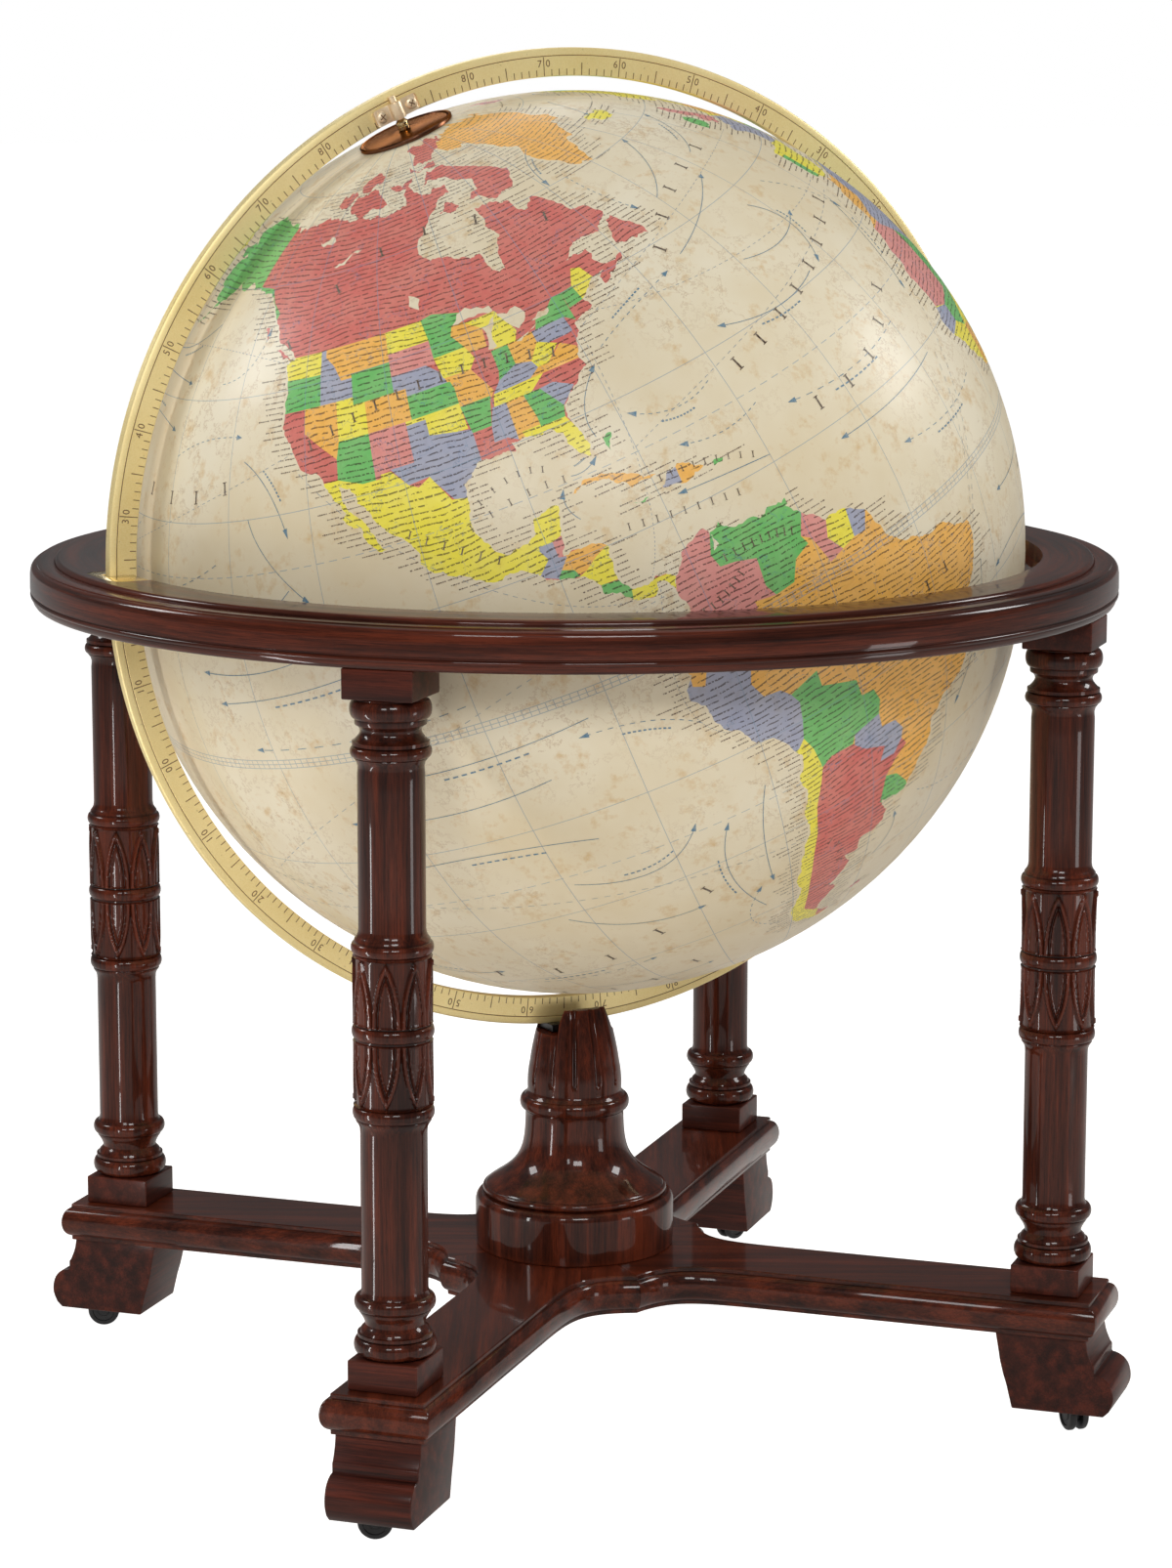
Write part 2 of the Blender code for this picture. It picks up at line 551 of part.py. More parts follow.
def make_pedestal():
    seat = ARM_TOP_Z + GAP
    base_profile = [(PEDESTAL_RADIUS - 0.9 * MM, seat), (PEDESTAL_RADIUS, PEDESTAL_SPLIT_Z - 10 * MM)]
    base_profile += [(PEDESTAL_RADIUS - 2.2 * MM, PEDESTAL_SPLIT_Z)]
    base = add_object("pedestal_base", turned(base_profile, PEDESTAL_STEPS), "mahogany")
    bolt_bore = BOLT_RADIUS + BOLT_CLEARANCE
    cut(base, rod(bolt_bore, seat - 5 * MM, PEDESTAL_SPLIT_Z + 5 * MM), "cut_base_bore")

    bell = add_object("pedestal_bell", turned(bell_profile(), PEDESTAL_STEPS), "mahogany")
    half = CRADLE_WIDTH / 2
    reach = 80 * MM
    slot = box((-reach, -half, CRADLE_FLOOR_Z - GAP), (reach, half, PEDESTAL_TOP_Z + 5 * MM))
    cut(bell, slot, "cut_cradle")
    bolt_end = PEDESTAL_SPLIT_Z + BOLT_REACH
    cut(bell, rod(bolt_bore, PEDESTAL_SPLIT_Z - 5 * MM, bolt_end + 2 * MM), "cut_bell_bore")

    pad_half = PAD_WIDTH / 2
    pad_reach = 26.0 * MM
    pad = bevelled_box((-pad_reach, RING_MIDDLE_Y - pad_half, CRADLE_FLOOR_Z),
                       (pad_reach, half - GAP, RING_BOTTOM_Z + 1.6 * MM), 0.6 * MM)
    pad_item = add_object("cradle_pad", pad, "bronze")
    groove = rod(RING_OUTER + GAP, RING_FACE_Y - GAP, RING_BACK_Y + GAP, 240)
    turn = Matrix.Translation(BALL_CENTRE) @ Matrix.Rotation(math.radians(-90), 4, "X")
    bmesh.ops.transform(groove, matrix=turn, verts=groove.verts)
    cut(pad_item, groove, "cut_pad_groove")

    plate_top = ARM_BOTTOM_Z - GAP
    plate_low = plate_top - HUB_PLATE_THICKNESS
    side = HUB_PLATE_SIDE / 2
    plate = bevelled_box((-side, -side, plate_low), (side, side, plate_top), 1.5 * MM)
    plate_item = add_object("hub_plate", plate, "steel")
    cut(plate_item, rod(bolt_bore, plate_low - 5 * MM, plate_top + 5 * MM), "cut_plate_bore")

    head_top = plate_low - GAP
    bolt_profile = [(BOLT_HEAD_RADIUS, head_top - BOLT_HEAD_HEIGHT), (BOLT_HEAD_RADIUS, head_top)]
    bolt_profile += [(BOLT_RADIUS, head_top), (BOLT_RADIUS, bolt_end)]
    add_object("pedestal_bolt", turned(bolt_profile, 12), "steel")
    return bell


# ---------------------------------------------------------------- meridian
def make_meridian():
    """The ring, turned about Y, and the pole hardware at both ends of the axis."""
    bevel = RING_BEVEL
    profile = [(RING_INNER, RING_FACE_Y), (RING_OUTER - bevel, RING_FACE_Y), (RING_OUTER, RING_FACE_Y + bevel)]
    profile += [(RING_OUTER, RING_BACK_Y - bevel), (RING_OUTER - bevel, RING_BACK_Y), (RING_INNER, RING_BACK_Y)]
    ring = add_object("meridian_ring", turned(profile, RING_STEPS, closed=True), "brass")
    upright = Matrix.Translation(BALL_CENTRE) @ Matrix.Rotation(math.radians(-90), 4, "X")
    place(ring, upright)
    for side, sign in (("north", 1), ("south", -1)):
        make_pole(side, sign, ring, upright)
    return ring


def make_pole(side, sign, ring, upright):
    frame = pole_frame(sign)
    low = RING_INNER + BRACKET_INSET
    high = low + BRACKET_HEIGHT
    half = BRACKET_LENGTH / 2
    back_y = RING_FACE_Y - GAP
    front_y = back_y - BRACKET_THICKNESS
    outline = [(-half, back_y), (half, back_y), (half, front_y), (BRACKET_BOSS_RADIUS, front_y)]
    outline += arc(0.0, 0.0, BRACKET_BOSS_RADIUS, BRACKET_BOSS_RADIUS, -15, -165, 8)
    outline += [(-BRACKET_BOSS_RADIUS, front_y), (-half, front_y)]
    bracket = stacked([[(x, y, z) for x, y in outline] for z in (low, high)])
    bracket_item = add_object(f"pole_bracket_{side}", bracket, "brass")
    place(bracket_item, frame)
    cut(bracket_item, rod(PIN_RADIUS + PIN_CLEARANCE, low - 5 * MM, high + 5 * MM, 16), f"cut_pin_{side}")

    middle = (low + high) / 2
    for word, shift in (("a", -SCREW_SPACING / 2), ("b", SCREW_SPACING / 2)):
        turn = Matrix.Translation((shift, front_y, middle)) @ Matrix.Rotation(math.radians(90), 4, "X")
        head = SCREW_HEAD_RADIUS
        profile = [(SCREW_SHANK_RADIUS, -SCREW_DEPTH), (SCREW_SHANK_RADIUS, GAP), (head, GAP)]
        profile += [(head, GAP + SCREW_HEAD_HEIGHT * 0.4), (head * 0.6, GAP + SCREW_HEAD_HEIGHT)]
        screw = add_object(f"bracket_screw_{side}_{word}", turned(profile, 12), "brass")
        place(screw, frame @ turn)
        hole = rod(SCREW_SHANK_RADIUS + GAP, -SCREW_DEPTH - 1.5 * MM, 2 * MM, 12)
        bmesh.ops.transform(hole, matrix=turn, verts=hole.verts)
        through = hole.copy()
        cut(bracket_item, hole, f"cut_screw_{side}_{word}")
        bmesh.ops.transform(through, matrix=upright.inverted() @ frame, verts=through.verts)
        cut(ring, through, f"cut_ring_{side}_{word}")

    dial_low = BALL_RADIUS + GAP
    profile = []
    for step in range(3):
        radius = PIN_RADIUS + PIN_CLEARANCE + (DIAL_RADIUS - PIN_RADIUS - PIN_CLEARANCE) * step / 2
        profile.append((radius, math.sqrt(dial_low ** 2 - radius ** 2)))
    edge = profile[-1][1]
    profile += [(DIAL_RADIUS, edge + 3.2 * MM), (DIAL_RADIUS - 2.2 * MM, edge + 4.0 * MM)]
    profile += [(DIAL_RADIUS - 5.0 * MM, edge + 3.4 * MM), (20 * MM, dial_low + DIAL_THICKNESS * 0.8)]
    profile += [(9 * MM, dial_low + DIAL_THICKNESS), (PIN_RADIUS + PIN_CLEARANCE, dial_low + DIAL_THICKNESS)]
    place(add_object(f"pole_dial_{side}", turned(profile, DIAL_STEPS, closed=True), "bronze"), frame)

    collar = dial_low + DIAL_THICKNESS + GAP
    pin_profile = [(PIN_RADIUS, BALL_RADIUS - BALL_WALL - BUSH_LENGTH - 2 * MM), (PIN_RADIUS, collar)]
    pin_profile += [(COLLAR_RADIUS, collar), (COLLAR_RADIUS, RING_INNER - 2.5 * MM)]
    pin_profile += [(PIN_RADIUS, RING_INNER - GAP), (PIN_RADIUS, high), (PIN_RADIUS / 2, high + 1.0 * MM)]
    place(add_object(f"pole_pin_{side}", turned(pin_profile, SMALL_STEPS), "brass"), frame)

    seat = BALL_RADIUS - BALL_WALL - 0.6 * MM
    bore = PIN_RADIUS + PIN_CLEARANCE
    bush_profile = [(bore, seat - BUSH_LENGTH), (BUSH_RADIUS, seat - BUSH_LENGTH), (BUSH_RADIUS, seat - 3 * MM)]
    bush_profile += [(BUSH_FLANGE, seat - 3 * MM), (BUSH_FLANGE, seat - GAP), (BUSH_RADIUS - 2 * MM, seat - GAP)]
    bush_profile += [(BUSH_RADIUS - 2 * MM, BALL_RADIUS - 1.5 * MM), (bore, BALL_RADIUS - 1.5 * MM)]
    place(add_object(f"pole_bush_{side}", turned(bush_profile, SMALL_STEPS, closed=True), "steel"), frame)


# ---------------------------------------------------------------- globe
def make_ball():
    """Two hemispherical shells with a hoop inside their joint."""
    inner = BALL_RADIUS - BALL_WALL
    hole = BUSH_RADIUS - 2 * MM + GAP
    rings = 7
    for side, sign in (("north", 1), ("south", -1)):
        start = math.asin(GAP / 2 / BALL_RADIUS)
        end = math.acos(hole / BALL_RADIUS)
        latitudes = [start + (end - start) * step / rings for step in range(rings + 1)]
        profile = [(BALL_RADIUS * math.cos(lat), BALL_RADIUS * math.sin(lat)) for lat in latitudes]
        inside_start = math.asin(GAP / 2 / inner)
        inside_end = math.acos(hole / inner)
        latitudes = [inside_start + (inside_end - inside_start) * step / rings for step in range(rings + 1)]
        profile += [(inner * math.cos(lat), inner * math.sin(lat)) for lat in reversed(latitudes)]
        shell = add_object(f"globe_{side}_half", turned(profile, BALL_STEPS, closed=True), "globe_shell")
        place(shell, pole_frame(sign))
    half = HOOP_HEIGHT / 2
    outer = math.sqrt(inner ** 2 - half ** 2) - HOOP_CLEARANCE
    profile = [(outer - HOOP_WALL, -half), (outer, -half), (outer, half), (outer - HOOP_WALL, half)]
    place(add_object("equator_hoop", turned(profile, BALL_STEPS, closed=True), "steel"), pole_frame(1))


# ---------------------------------------------------------------- assembly
def build():
    clear_scene()
    for name, angle in ARM_NAMES.items():
        make_arm(name, angle)
        make_foot(name, angle)
        make_caster(name, angle)
        make_column(name, angle)
    make_horizon()
    make_pedestal()
    make_meridian()
    make_ball()


build()
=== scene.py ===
import json
import math
import random

import bpy
import numpy
from mathutils import Matrix, Vector
from mathutils.geometry import delaunay_2d_cdt

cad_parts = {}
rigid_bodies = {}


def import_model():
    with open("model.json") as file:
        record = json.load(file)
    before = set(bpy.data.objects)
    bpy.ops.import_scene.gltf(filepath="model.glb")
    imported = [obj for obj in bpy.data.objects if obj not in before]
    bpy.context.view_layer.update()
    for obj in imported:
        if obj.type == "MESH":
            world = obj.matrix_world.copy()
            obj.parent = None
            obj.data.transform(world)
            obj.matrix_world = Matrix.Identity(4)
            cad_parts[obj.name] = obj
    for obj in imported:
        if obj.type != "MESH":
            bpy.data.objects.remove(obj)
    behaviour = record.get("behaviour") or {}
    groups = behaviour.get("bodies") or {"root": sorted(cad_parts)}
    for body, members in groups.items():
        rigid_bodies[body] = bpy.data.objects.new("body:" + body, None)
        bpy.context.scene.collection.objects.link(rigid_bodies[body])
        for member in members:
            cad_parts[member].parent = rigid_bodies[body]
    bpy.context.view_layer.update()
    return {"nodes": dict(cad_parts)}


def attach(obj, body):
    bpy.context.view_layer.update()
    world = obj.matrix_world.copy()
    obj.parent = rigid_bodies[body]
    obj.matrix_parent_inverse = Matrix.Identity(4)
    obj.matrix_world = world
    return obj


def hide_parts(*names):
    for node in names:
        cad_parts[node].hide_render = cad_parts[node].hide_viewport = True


for item in list(bpy.data.objects):  # a clean bench
    bpy.data.objects.remove(item)
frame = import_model()
mm = 0.001
legNames = {"front_left": 225, "front_right": 315, "back_right": 45, "back_left": 135}
print("frame loaded,", len(frame["nodes"]), "nodes")


# small helpers for working as by hand
def putDown():
    if bpy.context.object and bpy.context.object.mode != "OBJECT":
        bpy.ops.object.mode_set(mode="OBJECT")
    bpy.ops.object.select_all(action="DESELECT")


def pickUp(*items):
    putDown()
    for item in items:
        item.select_set(True)
    bpy.context.view_layer.objects.active = items[0]


def editAll(item):
    pickUp(item)
    bpy.ops.object.mode_set(mode="EDIT")
    bpy.ops.mesh.select_all(action="SELECT")


def drawLine(name, corners, closed=False):
    # a plane merged to one point, then drawn out point by point
    putDown()
    bpy.ops.mesh.primitive_plane_add(size=mm)
    line = bpy.context.object
    line.name = name
    bpy.ops.object.mode_set(mode="EDIT")
    bpy.ops.mesh.select_all(action="SELECT")
    bpy.ops.mesh.merge(type="CENTER")
    bpy.ops.transform.translate(value=corners[0])
    for before, after in zip(corners, corners[1:]):
        step = Vector(after) - Vector(before)
        bpy.ops.mesh.extrude_vertices_move(TRANSFORM_OT_translate={"value": step})
    if closed:
        bpy.ops.mesh.select_all(action="DESELECT")
        bpy.ops.object.mode_set(mode="OBJECT")
        line.data.vertices[0].select = True
        line.data.vertices[len(corners) - 1].select = True
        bpy.ops.object.mode_set(mode="EDIT")
        bpy.ops.mesh.edge_face_add()
    bpy.ops.mesh.select_all(action="SELECT")
    return line


def tidyFaces(item):
    editAll(item)
    bpy.ops.mesh.remove_doubles(threshold=0.000001)
    bpy.ops.mesh.normals_make_consistent(inside=False)
    bpy.ops.object.mode_set(mode="OBJECT")


def smoothBy(item, degrees=32):
    pickUp(item)
    bpy.ops.object.shade_smooth_by_angle(angle=math.radians(degrees))


def place(item, matrix):
    pickUp(item)
    item.matrix_world = matrix @ item.matrix_world
    bpy.ops.object.transform_apply(location=True, rotation=True, scale=True)
    return item


def lathe(name, profile, steps, closed=False):
    # profile is (radius, height) in mm, turned about Z
    turned = drawLine(name, [(r * mm, 0, z * mm) for r, z in profile], closed)
    bpy.ops.mesh.spin(steps=steps, angle=2 * math.pi, center=(0, 0, 0), axis=(0, 0, 1), use_auto_merge=True)
    tidyFaces(turned)
    return turned


def extrudeFlat(name, corners, step):
    # a closed flat outline filled and pulled out to a solid
    solid = drawLine(name, corners, closed=True)
    bpy.ops.mesh.edge_face_add()
    bpy.ops.mesh.extrude_region_move(TRANSFORM_OT_translate={"value": step})
    tidyFaces(solid)
    return solid


def useModifier(item, kind, **settings):
    pickUp(item)
    added = item.modifiers.new(kind.lower(), kind)
    for key, value in settings.items():
        setattr(added, key, value)
    bpy.ops.object.modifier_apply(modifier=added.name)
    return item


def softenEdges(item, width, segments=3, degrees=30):
    return useModifier(item, "BEVEL", width=width * mm, segments=segments, limit_method="ANGLE",
                       angle_limit=math.radians(degrees), harden_normals=False)


def carve(item, tool):
    useModifier(item, "BOOLEAN", operation="DIFFERENCE", solver="EXACT", object=tool)
    bpy.data.objects.remove(tool)
    return item


def blockTool(low, high):
    putDown()
    bpy.ops.mesh.primitive_cube_add(size=1)
    block = bpy.context.object
    middle = [(a + b) / 2 * mm for a, b in zip(low, high)]
    size = [(b - a) * mm for a, b in zip(low, high)]
    return place(block, Matrix.Translation(middle) @ Matrix.Diagonal((*size, 1)))


def joinUp(name, items):
    pickUp(*items)
    if len(items) > 1:
        bpy.ops.object.join()
    joined = bpy.context.object
    joined.name = name
    return joined


def copyOf(item, name, matrix):
    twin = item.copy()
    twin.data = item.data.copy()
    twin.name = name
    bpy.context.scene.collection.objects.link(twin)
    return place(twin, matrix)


def curve(centre, reach, start, end, steps):
    # points on an elliptic arc, (across, up) in mm
    made = []
    for step in range(steps + 1):
        angle = math.radians(start + (end - start) * step / steps)
        made.append((centre[0] + reach[0] * math.cos(angle), centre[1] + reach[1] * math.sin(angle)))
    return made


def bead(low, high, foot, top, steps=10):
    # a half-round moulding on a turned profile
    return curve((foot, (low + high) / 2), (top - foot, (high - low) / 2), -90, 90, steps)


def readAll(items, what, kind=numpy.int32, each=1):
    values = numpy.zeros(len(items) * each, kind)
    items.foreach_get(what, values)
    return values


def points(item):
    return readAll(item.data.vertices, "co", numpy.float32, 3).reshape(-1, 3).astype(float)


def setPoints(item, spots):
    item.data.vertices.foreach_set("co", spots.astype(numpy.float32).ravel())
    item.data.update()


def aroundZ(spots):
    # how far from the Z axis each spot is, and which way
    return numpy.hypot(spots[:, 0], spots[:, 1]), numpy.arctan2(spots[:, 1], spots[:, 0])


def turnedLeg(degrees, outward=0.0):
    return Matrix.Rotation(math.radians(degrees), 4, "Z") @ Matrix.Translation((outward * mm, 0, 0))


def storeGrain(item, order, around=False, slant=0.0):
    # board coordinates for the wood: first value runs along the grain, slant turns the figure across the board
    mesh = item.data
    values = points(item)[readAll(mesh.loops, "vertex_index")]
    if around:
        # the joint sits over a column
        radius, angle = aroundZ(values)
        angle = (angle - math.pi / 4) % (2 * math.pi)
        first = numpy.repeat(angle[readAll(mesh.polygons, "loop_start")], readAll(mesh.polygons, "loop_total"))
        angle = first + (angle - first + math.pi) % (2 * math.pi) - math.pi
        boardRadius = 0.45
        values = numpy.stack([angle * boardRadius, radius, values[:, 2]], axis=1)
    values = values[:, order]
    values[:, 1] -= values[:, 0] * slant
    stored = mesh.attributes.new("grain", "FLOAT_VECTOR", "CORNER")
    stored.data.foreach_set("vector", values.astype(numpy.float32).ravel())


def storeWearAndShade(item, strength=0.0022):
    # how round each spot is: above 0 on crests, below 0 in grooves; the wood uses it for rub with a painted highlight
    # on crests and for painted shade in grooves
    mesh = item.data
    spots = points(item)
    normals = numpy.array([v.normal for v in mesh.vertices])
    ends = readAll(mesh.edges, "vertices", each=2).reshape(-1, 2)
    along = spots[ends[:, 0]] - spots[ends[:, 1]]
    length = (along ** 2).sum(1) + 1e-10
    bend = ((normals[ends[:, 0]] - normals[ends[:, 1]]) * along).sum(1) / length
    total = numpy.zeros(len(spots))
    count = numpy.zeros(len(spots))
    for side in (0, 1):
        numpy.add.at(total, ends[:, side], bend)
        numpy.add.at(count, ends[:, side], 1)
    wear = numpy.clip(total / numpy.maximum(count, 1) * strength, -1, 1)
    for turn in range(2):
        spread = numpy.zeros(len(spots))
        numpy.add.at(spread, ends[:, 0], wear[ends[:, 1]])
        numpy.add.at(spread, ends[:, 1], wear[ends[:, 0]])
        wear = 0.5 * wear + 0.5 * spread / numpy.maximum(count, 1)
    stored = mesh.attributes.new("wear", "FLOAT", "POINT")
    stored.data.foreach_set("value", wear.astype(numpy.float32))


def coat(item, material):
    item.data.materials.clear()
    item.data.materials.append(material)


def finish(item, material, body, slotName, *nodes):
    coat(item, material)
    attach(item, body)
    if nodes:
        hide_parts(*nodes)
    return item


# camera and light
cameraSet = {"place": (-1.7070, -3.5317, 1.2619), "pitch": 10.15, "heading": -25.8, "lens": 100.04,
             "shift": 0.00717}
bpy.ops.object.camera_add(location=cameraSet["place"])
camera = bpy.context.object
camera.name = "camera"
camera.rotation_euler = (math.radians(90 - cameraSet["pitch"]), 0, math.radians(cameraSet["heading"]))
camera.data.lens = cameraSet["lens"]
camera.data.shift_x = cameraSet["shift"]
camera.data.clip_end = 60
bpy.context.scene.camera = camera
bpy.context.scene.view_settings.view_transform = "Standard"

lightSet = {  # name: place, aimed at, width, height, watts
    "sideLeft": ((-1.05, -0.22, 0.25), (0, 0, 0.25), 0.06, 0.44, 1.7),
    "sideRight": ((1.07, -1.57, 0.24), (0, 0, 0.24), 0.34, 0.42, 2.4),
    "frontHigh": ((-1.16, -3.41, 2.5), (0, 0, 0.75), 1.15, 0.85, 46),
    "frontLeft": ((-3.0, -3.2, 2.5), (0, 0, 0.8), 1.0, 1.0, 33),
    "backLeft": ((-1.95, 1.40, 2.1), (0, 0, 0.5), 0.7, 0.7, 20),
    "backRight": ((2.3, -0.65, 2.1), (0, 0, 0.5), 0.7, 0.7, 22),
    "above": ((0.2, 0.3, 3.3), (0, 0, 0.8), 2.4, 2.4, 14),
    "behind": ((0.9, 3.2, 3.0), (0, 0, 0.7), 1.2, 1.2, 16),
}
for lightName, (spot, aim, width, height, watts) in lightSet.items():
    bpy.ops.object.light_add(type="AREA", location=spot)
    lamp = bpy.context.object
    lamp.name = lightName
    lamp.data.shape = "RECTANGLE"
    lamp.data.size = width
    lamp.data.size_y = height
    lamp.data.energy = watts
    lamp.rotation_euler = (Vector(aim) - Vector(spot)).to_track_quat("-Z", "Y").to_euler()

# a white backdrop that lights the room only a little
worldSet = {"lit": 0.12, "seen": 1.0}
world = bpy.data.worlds.new("studio")
world.use_nodes = True
bpy.context.scene.world = world
tree = world.node_tree
rays = tree.nodes.new("ShaderNodeLightPath")
both = tree.nodes.new("ShaderNodeMixShader")
tree.links.new(rays.outputs["Is Camera Ray"], both.inputs[0])
for number, (sky, strength) in enumerate(((tree.nodes["Background"], worldSet["lit"]),
                                         (tree.nodes.new("ShaderNodeBackground"), worldSet["seen"]))):
    sky.inputs["Color"].default_value = (1, 1, 1, 1)
    sky.inputs["Strength"].default_value = strength
    tree.links.new(sky.outputs[0], both.inputs[number + 1])
tree.links.new(both.outputs[0], tree.nodes["World Output"].inputs[0])
print("camera and light set")


# shader maths: a wired socket that can be added, multiplied and compared
class Wire:
    def __init__(self, paint, socket):
        self.paint = paint
        self.socket = socket

    def work(self, operation, first, second=0.0):
        return self.paint.node("Math", {"operation": operation}, {0: first, 1: second})

    def __add__(self, other):
        return self.work("ADD", self, other)

    def __radd__(self, other):
        return self.work("ADD", other, self)

    def __sub__(self, other):
        return self.work("SUBTRACT", self, other)

    def __rsub__(self, other):
        return self.work("SUBTRACT", other, self)

    def __mul__(self, other):
        return self.work("MULTIPLY", self, other)

    def __rmul__(self, other):
        return self.work("MULTIPLY", other, self)

    def __truediv__(self, other):
        return self.work("DIVIDE", self, other)

    def __abs__(self):
        return self.work("ABSOLUTE", self)

    def __lt__(self, other):
        return self.work("LESS_THAN", self, other)

    def __gt__(self, other):
        return self.work("GREATER_THAN", self, other)

    def __mod__(self, other):
        return self.work("FLOORED_MODULO", self, other)

    def most(self, other):
        return self.work("MAXIMUM", self, other)


class Paint:
    def __init__(self, name):
        self.material = bpy.data.materials.new(name)
        self.material.use_nodes = True
        self.tree = self.material.node_tree
        self.shader = self.tree.nodes["Principled BSDF"]

    def feed(self, socket, value):
        if isinstance(value, Wire):
            self.tree.links.new(value.socket, socket)
        else:
            socket.default_value = value

    def node(self, kind, settings=None, values=None, output=0):
        made = self.tree.nodes.new("ShaderNode" + kind)
        for key, value in (settings or {}).items():
            if key == "stops":
                steps = made.color_ramp.elements
                while len(steps) < len(value):
                    steps.new(1.0)
                for step, (spot, colour) in zip(steps, value):
                    step.position = spot
                    step.color = (*colour, 1)
            else:
                setattr(made, key, value)
        for key, value in (values or {}).items():
            self.feed(made.inputs[key], value)
        return Wire(self, made.outputs[output])

    def spot(self):
        return self.node("TexCoord", {}, {}, 3)  # Object coordinates

    def scaled(self, vector, size):
        return self.node("Mapping", {}, {"Vector": vector, "Scale": size})

    def noise(self, vector, scale, detail=3.0, roughness=0.5):
        values = {"Vector": vector, "Scale": scale, "Detail": detail, "Roughness": roughness}
        return self.node("TexNoise", {}, values)

    def ramp(self, value, stops):
        return self.node("ValToRGB", {"stops": stops}, {0: value})

    def level(self, value, low, high):
        settings = {"clamp": True}
        return self.node("MapRange", settings, {"Value": value, "From Min": low, "From Max": high})

    def blend(self, share, first, second, kind="MIX"):
        first = first if isinstance(first, Wire) else (*first, 1)
        second = second if isinstance(second, Wire) else (*second, 1)
        settings = {"data_type": "RGBA", "blend_type": kind}
        return self.node("Mix", settings, {0: share, 6: first, 7: second}, 2)

    def bump(self, height, strength, distance):
        return self.node("Bump", {}, {"Height": height, "Strength": strength, "Distance": distance})

    def set(self, **values):
        for key, value in values.items():
            self.feed(self.shader.inputs[key.replace("_", " ")], value)
        return self.material


# finishes
woodSet = {
    "gloss": {"dark": (0.018, 0.0042, 0.0024), "mid": (0.056, 0.0118, 0.0055), "red": (0.120, 0.0225, 0.0092),
              "rubAndHighlight": (0.27, 0.048, 0.015), "rough": 0.30, "specular": 0.06, "coat": 0.60, "coatRough": 0.05},
    "satin": {"dark": (0.012, 0.0032, 0.0022), "mid": (0.038, 0.0078, 0.0045), "red": (0.092, 0.0165, 0.0080),
              "rubAndHighlight": (0.17, 0.045, 0.028), "rough": 0.38, "specular": 0.12, "coat": 0.26, "coatRough": 0.18},
}


def makeMahogany(name, look):
    paint = Paint(name)
    grain = paint.node("Attribute", {"attribute_name": "grain"}, {}, 1)
    wear = paint.node("Attribute", {"attribute_name": "wear"}, {}, 2)
    sway = paint.noise(paint.scaled(grain, (3, 9, 9)), 1.0, 2.0)
    bands = paint.noise(paint.scaled(grain, (4.0, 75, 75)), 1.0, 4.0, 0.6)
    streaks = paint.noise(paint.scaled(grain, (16, 620, 620)), 1.0, 4.0, 0.62)
    pores = paint.noise(paint.scaled(grain, (70, 2300, 2300)), 1.0, 2.0)
    tone = bands * 0.55 + streaks * 0.30 + sway * 0.15
    stops = [(0.40, look["dark"]), (0.50, look["mid"]), (0.60, look["red"])]
    colour = paint.ramp(tone, stops)
    dark = [value * 0.35 for value in look["dark"]]
    colour = paint.blend((pores < 0.40) * 0.45, colour, dark)
    # crests turn a lighter red: partly rub-through wear, partly a painted highlight on the beads
    patch = paint.level(paint.noise(grain, 9, 2.0), 0.32, 0.66)
    crestRubAndHighlight = paint.level(wear, 0.10, 0.75) * (patch * 0.6 + 0.4)
    colour = paint.blend(crestRubAndHighlight * 0.60, colour, look["rubAndHighlight"])
    # grooves darken towards near black: painted shade in the hollows
    colour = paint.blend(paint.level(0.0 - wear, 0.06, 0.6) * 0.85, colour, dark)
    rough = look["rough"] + streaks * 0.10
    relief = paint.bump(streaks + pores * 0.4, 0.025, 0.0003)
    paint.set(Base_Color=colour, Roughness=rough, Normal=relief, Specular_IOR_Level=look["specular"])
    return paint.set(Coat_Weight=look["coat"], Coat_Roughness=look["coatRough"], Coat_IOR=1.45)


glossWood = makeMahogany("glossMahogany", woodSet["gloss"])
satinWood = makeMahogany("satinMahogany", woodSet["satin"])

metalSet = {
    "brass": {"light": (0.99, 0.83, 0.43), "deep": (0.90, 0.71, 0.30), "rough": 0.36, "metal": 0.50},
    "pale": {"light": (0.98, 0.82, 0.58), "deep": (0.86, 0.66, 0.42), "rough": 0.32, "metal": 0.60},
    "polished": {"light": (0.95, 0.80, 0.48), "deep": (0.80, 0.62, 0.30), "rough": 0.10},
    "copper": {"light": (0.25, 0.112, 0.062), "deep": (0.085, 0.036, 0.021), "rough": 0.16,
               "edge": (0.72, 0.50, 0.38, 1)},
    "steel": {"light": (0.62, 0.62, 0.63), "deep": (0.42, 0.42, 0.43), "rough": 0.36},
}


def makeMetal(name, look, stretch=(1, 1, 1)):
    paint = Paint(name)
    spot = paint.spot()
    cloud = paint.noise(spot, 9, 3.0)
    brush = paint.noise(paint.scaled(spot, stretch), 900, 2.0)
    speck = paint.noise(spot, 260, 2.0)
    share = paint.level(cloud * 0.6 + brush * 0.4, 0.34, 0.62)
    colour = paint.blend(share, look["deep"], look["light"])
    colour = paint.blend((speck > 0.71) * 0.35, colour, [v * 0.5 for v in look["deep"]])
    rough = look["rough"] + brush * 0.12 + cloud * 0.06
    relief = paint.bump(brush, 0.06, 0.0002)
    paint.set(Specular_Tint=look.get("edge", (1, 1, 1, 1)), Metallic=look.get("metal", 1.0))
    return paint.set(Base_Color=colour, Roughness=rough, Normal=relief)


satinBrass = makeMetal("satinBrass", metalSet["brass"], (1, 0.2, 1))
paleBrass = makeMetal("paleBrass", metalSet["pale"])
polishedBrass = makeMetal("polishedBrass", metalSet["polished"], (1, 0.1, 1))
copper = makeMetal("copperDial", metalSet["copper"])
steel = makeMetal("zincSteel", metalSet["steel"])


